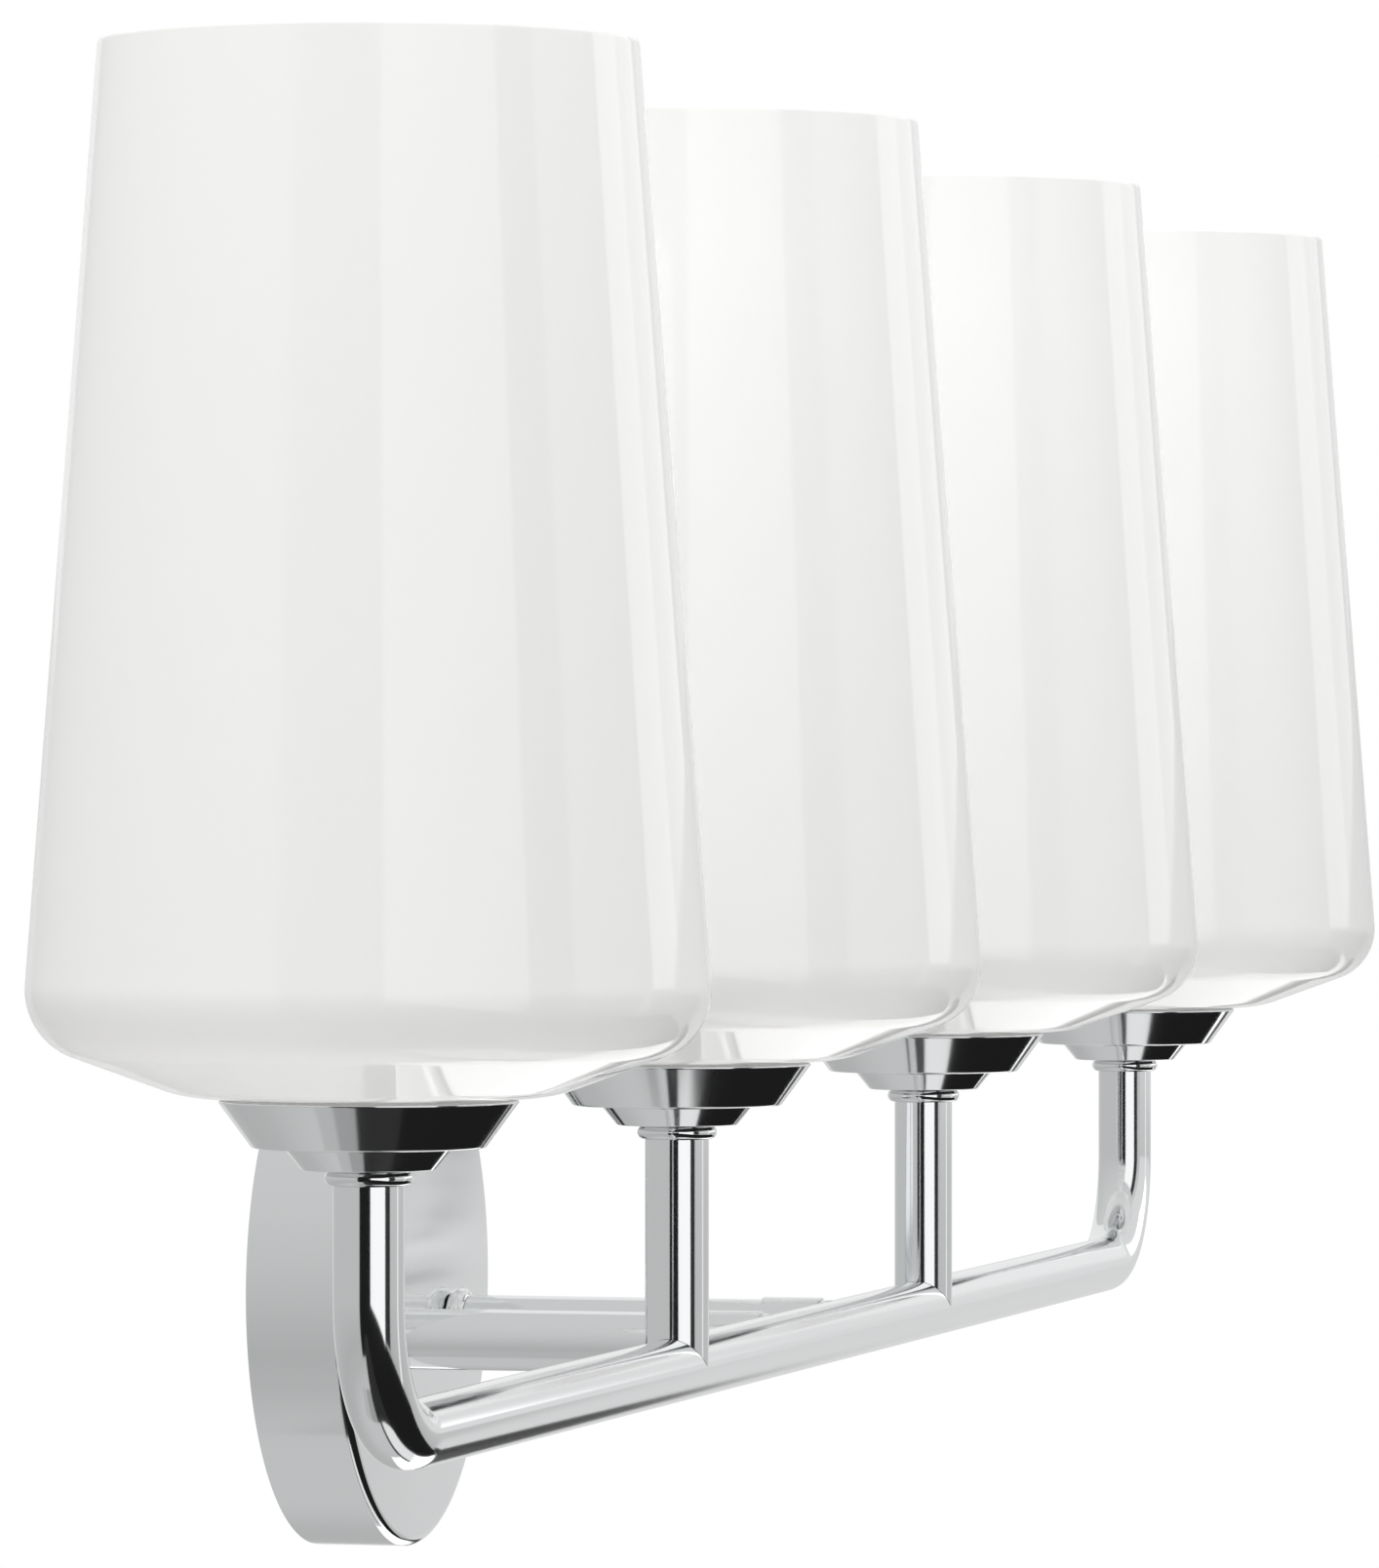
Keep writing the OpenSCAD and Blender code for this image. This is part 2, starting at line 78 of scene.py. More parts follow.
class NodeSheet:
    """The shader nodes of one finish, with short ways to add and join them."""

    def __init__(self, name: str) -> None:
        """Starts a material that has a Principled shader and Object coordinates.

        Args:
            name: The material's name.
        """
        self.material = bpy.data.materials.new(name)
        self.material.use_nodes = True
        self.tree = self.material.node_tree
        self.shader = self.tree.nodes["Principled BSDF"]
        self.place = self.tree.nodes.new("ShaderNodeTexCoord").outputs["Object"]

    def add(self, kind: str, **values: object) -> bpy.types.Node:
        """Adds a node and sets its sockets by name, with _ for a space.

        Args:
            kind: The node's Blender type.
            **values: What each named input socket is set to.

        Returns:
            The new node.
        """
        node = self.tree.nodes.new(kind)
        for key, value in values.items():
            node.inputs[key.replace("_", " ")].default_value = value
        return node

    def join(self, source: bpy.types.NodeSocket, target: bpy.types.NodeSocket) -> None:
        """Links one socket to another."""
        self.tree.links.new(source, target)

    def set(self, **values: object) -> None:
        """Sets the Principled shader's own sockets by name, with _ for a space."""
        for key, value in values.items():
            self.shader.inputs[key.replace("_", " ")].default_value = value

    def stretched(self, scale: Sequence[float]) -> bpy.types.NodeSocket:
        """Gives Object coordinates stretched along each axis.

        Args:
            scale: The factor along X, Y and Z.

        Returns:
            The stretched coordinates' socket.
        """
        mapping = self.add("ShaderNodeMapping", Scale=tuple(scale))
        self.join(self.place, mapping.inputs["Vector"])
        return mapping.outputs["Vector"]

    def noise(
        self, scale: float, detail: float = 3.0, stretch: Sequence[float] | None = None
    ) -> bpy.types.NodeSocket:
        """Gives a noise pattern in space.

        Args:
            scale: Roughly how many features a metre holds.
            detail: How many finer layers ride on the pattern.
            stretch: The factor along X, Y and Z, where the pattern isn't even.

        Returns:
            The socket of the pattern's value, from 0 to 1.
        """
        node = self.add("ShaderNodeTexNoise", Scale=scale, Detail=detail)
        self.join(self.stretched(stretch) if stretch else self.place, node.inputs["Vector"])
        return node.outputs["Fac"]

    def ranged(
        self, source: bpy.types.NodeSocket, low: float, high: float, spread: float = 0.2
    ) -> bpy.types.NodeSocket:
        """Maps a pattern's middle values to a range.

        Args:
            source: The pattern.
            low: The result at the dark end.
            high: The result at the light end.
            spread: How far from 0.5 the pattern's used values reach.

        Returns:
            The mapped value's socket.
        """
        node = self.add(
            "ShaderNodeMapRange", From_Min=0.5 - spread, From_Max=0.5 + spread, To_Min=low, To_Max=high
        )
        self.join(source, node.inputs["Value"])
        return node.outputs["Result"]

    def blended(self, factor: bpy.types.NodeSocket, one: Rgb, other: Rgb) -> bpy.types.NodeSocket:
        """Mixes two colours by a pattern.

        Args:
            factor: The pattern, 0 for the first colour and 1 for the second.
            one: The first colour.
            other: The second colour.

        Returns:
            The mixed colour's socket.
        """
        node = self.tree.nodes.new("ShaderNodeMix")
        node.data_type = "RGBA"
        node.inputs["A"].default_value = (*one, 1.0)
        node.inputs["B"].default_value = (*other, 1.0)
        self.join(factor, node.inputs["Factor"])
        return next(s for s in node.outputs if s.enabled)

    def worked(
        self, operation: str, one: bpy.types.NodeSocket, other: bpy.types.NodeSocket
    ) -> bpy.types.NodeSocket:
        """Works out one value from two.

        Args:
            operation: Which sum it is, by the Math node's name for it.
            one: The first value.
            other: The second value.

        Returns:
            The result's socket.
        """
        node = self.add("ShaderNodeMath")
        node.operation = operation
        self.join(one, node.inputs[0])
        self.join(other, node.inputs[1])
        return node.outputs["Value"]

    def bump(self, height: bpy.types.NodeSocket, depth: float, strength: float = 1.0) -> None:
        """Bumps the surface by a pattern.

        Args:
            height: The pattern.
            depth: How deep the pattern is, in metres.
            strength: How much of the bump shows.
        """
        node = self.add("ShaderNodeBump", Distance=depth, Strength=strength)
        self.join(height, node.inputs["Height"])
        self.join(node.outputs["Normal"], self.shader.inputs["Normal"])


@dataclass(frozen=True)
class Finish:
    """A finish of the light: its material's name and the record's slot."""

    name: str
    slot: str

    def dress(self, sheet: NodeSheet) -> None:
        """Sets and joins the finish's nodes; each kind of finish has its own."""
        raise NotImplementedError

    def material(self) -> bpy.types.Material:
        """Gives the finish's material, and builds it the first time.

        Returns:
            The material.
        """
        made = bpy.data.materials.get(self.name)
        if made is None:
            sheet = NodeSheet(self.name)
            self.dress(sheet)
            made = sheet.material
        return made


@dataclass(frozen=True)
class PolishedPlate(Finish):
    """Bright plating with faint buffing haze and a slow ripple under it."""

    colour: Rgb = (0.87, 0.875, 0.885)
    clean: float = 0.025
    hazy: float = 0.06
    ripple: float = 0.000012

    def dress(self, sheet: NodeSheet) -> None:
        """Sets plating whose gloss and surface vary a little.

        Args:
            sheet: The nodes of the material.
        """
        sheet.set(Base_Color=(*self.colour, 1.0), Metallic=1.0)
        haze = sheet.ranged(sheet.noise(scale=22.0, detail=5.0), low=self.clean, high=self.hazy)
        sheet.join(haze, sheet.shader.inputs["Roughness"])
        sheet.bump(sheet.noise(scale=38.0, detail=1.0), depth=self.ripple)


@dataclass(frozen=True)
class OpalGlass(Finish):
    """White opal glass under a clear glossy casing, with the slow waves of blown glass."""

    dense: Rgb = (0.895, 0.893, 0.885)
    thin: Rgb = (0.875, 0.872, 0.862)
    gloss: float = 0.045
    wave: float = 0.00006

    def dress(self, sheet: NodeSheet) -> None:
        """Sets the milky body, its density and the gloss over it.

        Args:
            sheet: The nodes of the material.
        """
        sheet.set(Roughness=self.gloss, IOR=1.5)
        cloud = sheet.ranged(sheet.noise(scale=9.0, detail=2.0), low=0.0, high=1.0)
        sheet.join(sheet.blended(cloud, self.dense, self.thin), sheet.shader.inputs["Base Color"])
        sheet.bump(sheet.noise(scale=14.0, detail=1.0, stretch=(1.0, 1.0, 0.35)), depth=self.wave)


@dataclass(frozen=True)
class WorkedMetal(Finish):
    """Unpolished metal that is mottled, rubbed and slightly pitted."""

    bright: Rgb = (0.7, 0.7, 0.7)
    dull: Rgb = (0.55, 0.55, 0.55)
    smooth: float = 0.22
    rough: float = 0.42
    patch: float = 120.0
    wear_ratio: float = 2.3  # how much finer the worn spots are than the patches

    def dress(self, sheet: NodeSheet) -> None:
        """Sets metal whose colour and gloss vary by patches, with a fine grain.

        Args:
            sheet: The nodes of the material.
        """
        sheet.set(Metallic=1.0)
        patches = sheet.noise(scale=self.patch, detail=6.0)
        tint = sheet.ranged(patches, low=0.0, high=1.0)
        sheet.join(sheet.blended(tint, self.bright, self.dull), sheet.shader.inputs["Base Color"])
        wear = sheet.noise(scale=self.patch * self.wear_ratio, detail=4.0)
        gloss = sheet.ranged(wear, low=self.smooth, high=self.rough)
        sheet.join(gloss, sheet.shader.inputs["Roughness"])
        sheet.bump(sheet.noise(scale=2600.0, detail=2.0), depth=0.00002, strength=0.5)


@dataclass(frozen=True)
class SpangledSteel(Finish):
    """Galvanised sheet with crystals of zinc of different greys."""

    light: Rgb = (0.66, 0.67, 0.68)
    dark: Rgb = (0.47, 0.48, 0.50)
    crystals: float = 210.0

    def dress(self, sheet: NodeSheet) -> None:
        """Sets the crystals' greys and gloss, and scuffs over them.

        Args:
            sheet: The nodes of the material.
        """
        sheet.set(Metallic=1.0)
        cells = sheet.add("ShaderNodeTexVoronoi", Scale=self.crystals)
        sheet.join(sheet.place, cells.inputs["Vector"])
        grey = sheet.tree.nodes.new("ShaderNodeSeparateColor")
        sheet.join(cells.outputs["Color"], grey.inputs["Color"])
        crystal = grey.outputs["Red"]
        sheet.join(sheet.blended(crystal, self.light, self.dark), sheet.shader.inputs["Base Color"])
        scuffs = sheet.noise(scale=90.0, detail=6.0, stretch=(1.0, 1.0, 6.0))
        sheet.join(sheet.ranged(scuffs, low=0.30, high=0.55), sheet.shader.inputs["Roughness"])
        sheet.bump(crystal, depth=0.000015, strength=0.6)


@dataclass(frozen=True)
class MouldedPlastic(Finish):
    """Moulded or extruded plastic with a faint mottle and a fine surface grain."""

    colour: Rgb = (0.5, 0.5, 0.5)
    shade: Rgb = (0.4, 0.4, 0.4)
    roughness: float = 0.38
    rubbed: float = 0.06  # how much glossier it is where it is rubbed
    matted: float = 0.08  # how much duller it is where it is scuffed
    clear: float = 0.0

    def dress(self, sheet: NodeSheet) -> None:
        """Sets the colour, its mottle, the gloss and the grain.

        Args:
            sheet: The nodes of the material.
        """
        sheet.set(Transmission_Weight=self.clear, IOR=1.45)
        mottle = sheet.ranged(sheet.noise(scale=160.0, detail=5.0), low=0.0, high=1.0)
        sheet.join(sheet.blended(mottle, self.colour, self.shade), sheet.shader.inputs["Base Color"])
        rub = sheet.noise(scale=420.0, detail=3.0)
        gloss = sheet.ranged(rub, low=self.roughness - self.rubbed, high=self.roughness + self.matted)
        sheet.join(gloss, sheet.shader.inputs["Roughness"])
        sheet.bump(sheet.noise(scale=3200.0, detail=1.0), depth=0.00001, strength=0.5)


@dataclass(frozen=True)
class Porcelain(Finish):
    """Glazed porcelain with tiny specks and pooled glaze."""

    body: Rgb = (0.86, 0.85, 0.82)
    speck: Rgb = (0.70, 0.67, 0.61)

    def dress(self, sheet: NodeSheet) -> None:
        """Sets the body's specks and the uneven glaze over it.

        Args:
            sheet: The nodes of the material.
        """
        sheet.set(Roughness=0.22, Coat_Weight=0.8, Coat_Roughness=0.06)
        specks = sheet.ranged(sheet.noise(scale=1500.0, detail=2.0), low=-1.6, high=1.0, spread=0.32)
        sheet.join(sheet.blended(specks, self.body, self.speck), sheet.shader.inputs["Base Color"])
        sheet.bump(sheet.noise(scale=170.0, detail=2.0), depth=0.00004, strength=0.6)


CHROME = PolishedPlate("polished_chrome", "polished_chrome")
OPAL = OpalGlass("opal_glass", "opal_glass")
BRASS = WorkedMetal(
    "rolled_brass",
    "brass_parts",
    bright=(0.83, 0.64, 0.31),
    dull=(0.66, 0.47, 0.20),
    smooth=0.16,
    rough=0.34,
)
ZINC = WorkedMetal("zinc_plate", "zinc_plated", bright=(0.74, 0.74, 0.72), dull=(0.60, 0.61, 0.60))
STEEL = SpangledSteel("galvanised_steel", "galvanised_steel")
GREEN_SCREW = WorkedMetal(
    "green_dyed_plate", "green_screw", bright=(0.07, 0.36, 0.15), dull=(0.05, 0.22, 0.10), smooth=0.28
)
COPPER = WorkedMetal("bare_copper", "bare_copper", bright=(0.86, 0.45, 0.28), dull=(0.55, 0.27, 0.17))
BLACK_LEAD = MouldedPlastic(
    "black_insulation", "black_insulation", colour=(0.018, 0.018, 0.018), shade=(0.03, 0.03, 0.031)
)
WHITE_LEAD = MouldedPlastic(
    "white_insulation", "white_insulation", colour=(0.80, 0.80, 0.77), shade=(0.72, 0.72, 0.69)
)
ORANGE_CAP = MouldedPlastic(
    "orange_plastic", "orange_plastic", colour=(0.80, 0.27, 0.03), shade=(0.66, 0.20, 0.02)
)
SILICONE = MouldedPlastic(
    "clear_silicone", "clear_silicone", colour=(0.84, 0.85, 0.85), shade=(0.78, 0.79, 0.79), clear=0.25
)
PORCELAIN = Porcelain("glazed_porcelain", "white_porcelain")
PHENOLIC = MouldedPlastic(
    "cream_phenolic", "cream_phenolic", colour=(0.80, 0.77, 0.68), shade=(0.72, 0.68, 0.58), roughness=0.30
)


# ---- modelling ----


class Lay(Enum):
    """Which way a turned piece's axis points."""

    UP = 0.0
    OUT = 90.0

    def turn(self) -> Matrix:
        """Gives the turn about X that lays +Z up, or out from the wall along -Y."""
        return Matrix.Rotation(math.radians(self.value), 4, "X")


@dataclass(frozen=True)
class Corner:
    """A corner of a turned piece's section, with the radius that rounds it."""

    out: float
    along: float
    fillet: float = 0.0


def arc(centre: Point, radius: float, start: float, end: float, steps: int) -> list[Point]:
    """Gives the points of an arc.

    Args:
        centre: The arc's centre.
        radius: The arc's radius.
        start: The first point's angle, in radians.
        end: The last point's angle, in radians.
        steps: How many pieces the arc has.

    Returns:
        The points, the first and last among them.
    """
    angles = [start + (end - start) * i / steps for i in range(steps + 1)]
    return [(centre[0] + radius * math.cos(a), centre[1] + radius * math.sin(a)) for a in angles]


def rounded(corners: Sequence[Corner], steps: int = 8) -> list[Point]:
    """Rounds the corners of a closed section.

    Args:
        corners: The corners in order.
        steps: How many pieces each rounded corner has.

    Returns:
        The section's points in order.
    """
    outline: list[Point] = []
    for i, corner in enumerate(corners):
        here = Vector((corner.out, corner.along))
        before, after = corners[i - 1], corners[(i + 1) % len(corners)]
        back = (Vector((before.out, before.along)) - here).normalized()
        ahead = (Vector((after.out, after.along)) - here).normalized()
        if corner.fillet == 0.0:
            outline.append(tuple(here))
            continue
        half = back.angle(ahead) / 2
        centre = here + (back + ahead).normalized() * corner.fillet / math.sin(half)
        reach = corner.fillet / math.tan(half)
        first = here + back * reach - centre
        last = here + ahead * reach - centre
        start = math.atan2(first.y, first.x)
        sweep = math.remainder(math.atan2(last.y, last.x) - start, math.tau)
        outline += arc(tuple(centre), corner.fillet, start, start + sweep, steps)
    return outline


def turned(
    outline: Sequence[Point], at: Sequence[float], lay: Lay = Lay.UP, segments: int = 128
) -> bmesh.types.BMesh:
    """Turns a closed section round an axis, as on a lathe.

    Args:
        outline: The section's points, as distance out from the axis and place along it.
        at: Where the axis and the section's zero height meet.
        lay: Which way the axis points.
        segments: How many facets go round.

    Returns:
        The closed mesh, in place.
    """
    shape = bmesh.new()
    ring = [shape.verts.new((out, 0.0, along)) for out, along in outline]
    edges = [shape.edges.new(pair) for pair in zip(ring, ring[1:] + ring[:1])]
    bmesh.ops.spin(
        shape,
        geom=ring + edges,
        cent=(0, 0, 0),
        axis=(0, 0, 1),
        angle=math.tau,
        steps=segments,
        use_merge=True,
    )
    bmesh.ops.remove_doubles(shape, verts=shape.verts, dist=WELD)
    bmesh.ops.recalc_face_normals(shape, faces=shape.faces)
    bmesh.ops.transform(shape, matrix=Matrix.Translation(at) @ lay.turn(), verts=shape.verts)
    return shape


def annulus(outer: float, inner: float, segments: int) -> tuple[bmesh.types.BMesh, Faces]:
    """Starts a tube with the flat ring of its end, about the origin.

    Args:
        outer: The tube's outside radius.
        inner: The tube's inside radius.
        segments: How many facets go round.

    Returns:
        The mesh and the ring's faces.
    """
    shape = bmesh.new()
    for radius in (outer, inner):
        bmesh.ops.create_circle(shape, cap_ends=False, radius=radius, segments=segments)
    return shape, bmesh.ops.bridge_loops(shape, edges=shape.edges[:])["faces"]


def pushed(shape: bmesh.types.BMesh, end: Faces, by: Sequence[float]) -> Faces:
    """Extrudes a tube's end straight on.

    Args:
        shape: The tube.
        end: The faces of its end.
        by: How far and which way the end goes.

    Returns:
        The faces of the new end.
    """
    made = bmesh.ops.extrude_face_region(shape, geom=end)["geom"]
    verts = [part for part in made if isinstance(part, bmesh.types.BMVert)]
    bmesh.ops.translate(shape, verts=verts, vec=by)
    return [part for part in made if isinstance(part, bmesh.types.BMFace)]


def bent(
    shape: bmesh.types.BMesh, end: Faces, centre: Sequence[float], angle: float, steps: int
) -> Faces:
    """Carries a tube's end round a bend that lies in the XZ plane.

    Args:
        shape: The tube.
        end: The faces of its end.
        centre: The bend's centre.
        angle: How far it turns about +Y, in radians.
        steps: How many pieces the bend has.

    Returns:
        The faces of the new end.
    """
    geom = list({part for face in end for part in (face, *face.edges, *face.verts)})
    made = bmesh.ops.spin(shape, geom=geom, cent=centre, axis=(0, 1, 0), angle=angle, steps=steps)
    return [part for part in made["geom_last"] if isinstance(part, bmesh.types.BMFace)]


@dataclass(frozen=True)
class Relief:
    """Waves cut into the round side of an upright turned piece between two heights."""

    low: float
    high: float
    least: float  # what is nearer to the axis than this isn't cut
    depth: float
    rising: float = 0.0  # waves in a metre of height
    around: float = 0.0  # waves in a turn
    fade: float = 0.0015  # how far in from each end the waves reach their full depth

    def cut(self, shape: bmesh.types.BMesh, foot: Vector) -> None:
        """Cuts the waves, which fade out at both ends.

        Args:
            shape: The piece.
            foot: The point on its axis that the heights count from.
        """
        for vert in shape.verts:
            spot = vert.co - foot
            out = math.hypot(spot.x, spot.y)
            if out < self.least or not self.low <= spot.z <= self.high:
                continue
            phase = self.rising * spot.z + self.around * math.atan2(spot.y, spot.x) / math.tau
            full = min(1.0, (spot.z - self.low) / self.fade, (self.high - spot.z) / self.fade)
            depth = self.depth * full * (0.5 - 0.5 * math.cos(math.tau * phase))
            vert.co.x -= spot.x / out * depth
            vert.co.y -= spot.y / out * depth


def thread(low: float, high: float, least: float, depth: float, pitch: float) -> Relief:
    """Gives the relief of a round right-hand thread.

    Args:
        low: The height where it starts.
        high: The height where it ends.
        least: What is nearer to the axis than this isn't cut.
        depth: How deep it is.
        pitch: How far it rises in a turn.

    Returns:
        The relief.
    """
    return Relief(low, high, least, depth, rising=1.0 / pitch, around=-1.0)


def climb(
    out: float, start: float, end: float, steps: int, out_end: float | None = None
) -> list[Corner]:
    """Gives evenly spaced corners along a straight side of a section, for a relief to move.

    Args:
        out: The distance from the axis at the start.
        start: The height of the first corner.
        end: The height of the last corner.
        steps: How many pieces the side is cut into.
        out_end: The distance from the axis at the end, where it isn't the same.

    Returns:
        The corners.
    """
    change = 0.0 if out_end is None else out_end - out
    return [Corner(out + change * i / steps, start + (end - start) * i / steps) for i in range(steps + 1)]


def joined(shapes: Iterable[bmesh.types.BMesh]) -> bmesh.types.BMesh:
    """Puts several meshes into one.

    Args:
        shapes: The meshes; they are freed.

    Returns:
        The one mesh.
    """
    whole = bmesh.new()
    for shape in shapes:
        mesh = bpy.data.meshes.new("passing")
        shape.to_mesh(mesh)
        shape.free()
        whole.from_mesh(mesh)
        bpy.data.meshes.remove(mesh)
    return whole


def eased_copy(node: str, width: float, sharp: float = math.radians(35)) -> bmesh.types.BMesh:
    """Copies a CAD node's mesh, joins its triangles and eases its sharp edges.

    Args:
        node: The CAD node.
        width: How wide the eased edges are.
        sharp: The least angle between faces at an edge that is eased.

    Returns:
        The new mesh.
    """
    shape = bmesh.new()
    shape.from_mesh(bpy.data.objects[node].data)
    bmesh.ops.remove_doubles(shape, verts=shape.verts, dist=WELD)
    bmesh.ops.dissolve_limit(
        shape, angle_limit=FLAT, verts=shape.verts, edges=shape.edges, delimit={"NORMAL"}
    )
    edges = [e for e in shape.edges if e.is_manifold and e.calc_face_angle(0.0) > sharp]
    bmesh.ops.bevel(
        shape,
        geom=edges,
        offset=width,
        offset_type="OFFSET",
        segments=2,
        profile=0.5,
        affect="EDGES",
        clamp_overlap=True,
        material=-1,
    )
    return shape


def put(
    name: str,
    shape: bmesh.types.BMesh,
    finish: Finish,
    replaces: Iterable[str],
    body: str = "root",
    crease: float = math.radians(32),
) -> None:
    """Puts a finished mesh into the scene as a piece of the light.

    Args:
        name: The piece's name.
        shape: Its mesh, in place; it is freed.
        finish: Its finish.
        replaces: The CAD nodes that it stands for.
        body: The CAD body that it rides on.
        crease: Edges sharper than this angle stay sharp.
    """
    for face in shape.faces:
        face.smooth = True
    for edge in shape.edges:
        edge.smooth = edge.calc_face_angle(0.0) < crease
    mesh = bpy.data.meshes.new(name)
    shape.to_mesh(mesh)
    shape.free()
    mesh.materials.append(finish.material())
    piece = bpy.data.objects.new(name, mesh)
    bpy.context.scene.collection.objects.link(piece)
    weighted = piece.modifiers.new("even_shading", "WEIGHTED_NORMAL")
    weighted.keep_sharp = True
    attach(piece, body)
    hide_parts(*replaces)
    log.info("%s: %d faces in %s, on %s", name, len(mesh.polygons), finish.name, body)


def dress_node(node: str, finish: Finish) -> None:
    """Gives a CAD node that stays in view its finish.

    Args:
        node: The CAD node.
        finish: Its finish.
    """
    materials = bpy.data.objects[node].data.materials
    materials.clear()
    materials.append(finish.material())
    log.info("%s: CAD node in %s", node, finish.name)


def middle(node: str) -> Vector:
    """Gives the middle of a CAD node's box."""
    low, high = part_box(node)
    return (low + high) / 2


# ---- the bar and its arms ----


@dataclass
class Bar:
    """The bent tube and the two posts that stand on it between its ends."""

    wall: float = 0.001
    bend_radius: float = 0.028
    joint_gap: float = 0.00005
    segments: int = 96
    bend_steps: int = 36

    def __post_init__(self) -> None:
        """Reads the tube's radius, axis and ends from the CAD."""
        low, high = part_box("bar_tube")
        self.radius = (high.y - low.y) / 2
        self.y = (low.y + high.y) / 2
        self.z = low.z + self.radius
        self.top = high.z
        self.end_x = high.x - self.radius

    def build(self) -> None:
        """Builds the tube and both posts."""
        put("chrome_bar_tube", self.tube(), CHROME, replaces=["bar_tube"])
        for side in ("left", "right"):
            node = f"inner_post_{side}"
            put(f"chrome_post_{side}", self.post(node), CHROME, replaces=[node])

    def tube(self) -> bmesh.types.BMesh:
        """Carries the tube's ring down one end, along the bar and up the other.

        Returns:
            The tube's mesh.
        """
        shape, end = annulus(self.radius, self.radius - self.wall, self.segments)
        bmesh.ops.translate(shape, verts=shape.verts, vec=(-self.end_x, self.y, self.top))
        bend_z = self.z + self.bend_radius
        bend_x = self.end_x - self.bend_radius
        rise = self.top - bend_z
        end = pushed(shape, end, (0, 0, -rise))
        end = bent(shape, end, (-bend_x, self.y, bend_z), -math.pi / 2, self.bend_steps)
        end = pushed(shape, end, (2 * bend_x, 0, 0))
        end = bent(shape, end, (bend_x, self.y, bend_z), -math.pi / 2, self.bend_steps)
        pushed(shape, end, (0, 0, rise))
        bmesh.ops.recalc_face_normals(shape, faces=shape.faces)
        return shape

    def post(self, node: str) -> bmesh.types.BMesh:
        """Stands a tube on the bar, its foot coped to the bar's round top.

        Args:
            node: The CAD post that it stands for.

        Returns:
            The post's mesh.
        """
        centre = middle(node)
        shape, end = annulus(self.radius, self.radius - self.wall, self.segments)
        bmesh.ops.translate(shape, verts=shape.verts, vec=(centre.x, self.y, self.z))
        pushed(shape, end, (0, 0, self.top - self.z))
        foot = [v for v in shape.verts if abs(v.co.z - self.z) < WELD]
        for vert in foot:
            vert.co.z = self.z + self.cope(vert.co.y - self.y)
        bmesh.ops.recalc_face_normals(shape, faces=shape.faces)
        return shape

    def cope(self, aside: float) -> float:
        """Gives how far the bar's surface stands off its axis, that far aside of it."""
        return math.sqrt(max((self.radius + self.joint_gap) ** 2 - aside**2, 0.0))


@dataclass
class Arms:
    """The two arms with their bead rings at the canopy and sleeves at the bar."""

    bar: Bar
    wall: float = 0.001
    sleeve_proud: float = 0.0006
    sleeve_gap: float = 0.00005
    sleeve_length: float = 0.0105
    sleeve_stop: float = 0.0035
    sleeve_easing: float = 0.0004
    hole: float = 0.0049
    segments: int = 96

    def build(self) -> None:
        """Builds each arm with its bead ring, then both sleeves."""
        for side in ("left", "right"):
            node, bead = f"arm_{side}", f"arm_bead_{side}"
            put(f"chrome_arm_{side}", self.arm(node), CHROME, replaces=[node])
            put(f"chrome_arm_bead_{side}", self.bead(bead), CHROME, replaces=[bead])
        sleeves = joined(self.sleeve(middle(f"arm_{side}").x) for side in ("left", "right"))
        put("chrome_arm_sleeves", sleeves, CHROME, replaces=["arm_collars"])

    def arm(self, node: str) -> bmesh.types.BMesh:
        """Runs a tube from the bead ring to the bar, coped to the bar's round side.

        Args:
            node: The CAD arm that it stands for.

        Returns:
            The arm's mesh.
        """
        radius = self.bar.radius
        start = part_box(node)[1].y
        shape, end = annulus(radius, radius - self.wall, self.segments)
        pushed(shape, end, (0, 0, start - self.bar.y))
        self.seat(shape, Vector((middle(node).x, start, self.bar.z)), start - self.bar.y, 0.0)
        bmesh.ops.recalc_face_normals(shape, faces=shape.faces)
        return shape

    def seat(self, shape: bmesh.types.BMesh, at: Vector, far: float, stop: float) -> None:
        """Lays an upright tube out from the wall and copes its far end to the bar.

        Args:
            shape: The tube, from the origin up to the height far.
            at: Where its start goes.
            far: The height of the end that is coped.
            stop: How near the bar's axis the end may come.
        """
        ends = [v for v in shape.verts if v.co.z > far - WELD]
        bmesh.ops.transform(shape, matrix=Matrix.Translation(at) @ Lay.OUT.turn(), verts=shape.verts)
        for vert in ends:
            vert.co.y = self.bar.y + max(self.bar.cope(vert.co.z - self.bar.z), stop)

    def bead(self, node: str) -> bmesh.types.BMesh:
        """Turns the bead ring between the canopy's face and the arm.

        Args:
            node: The CAD ring that it stands for.

        Returns:
            The ring's mesh.
        """
        low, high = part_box(node)
        radius, width = (high.x - low.x) / 2, high.y - low.y
        outline = rounded(bead_corners(radius, width, self.hole), BEAD_STEPS)
        return turned(outline, (middle(node).x, high.y, self.bar.z), Lay.OUT)

    def sleeve(self, x: float) -> bmesh.types.BMesh:
        """Turns the brazed sleeve where one arm meets the bar.

        Args:
            x: The arm's place along the bar.

        Returns:
            The sleeve's mesh.
        """
        inner = self.bar.radius + self.sleeve_gap
        outer = self.bar.radius + self.sleeve_proud
        far = self.sleeve_length + self.bar.radius
        start = Corner(outer, 0.0, fillet=self.sleeve_easing)
        outline = rounded([Corner(inner, 0.0), start, Corner(outer, far), Corner(inner, far)])
        shape = turned(outline, (0, 0, 0), segments=self.segments)
        self.seat(shape, Vector((x, self.bar.y + far, self.bar.z)), far, self.sleeve_stop)
        return shape


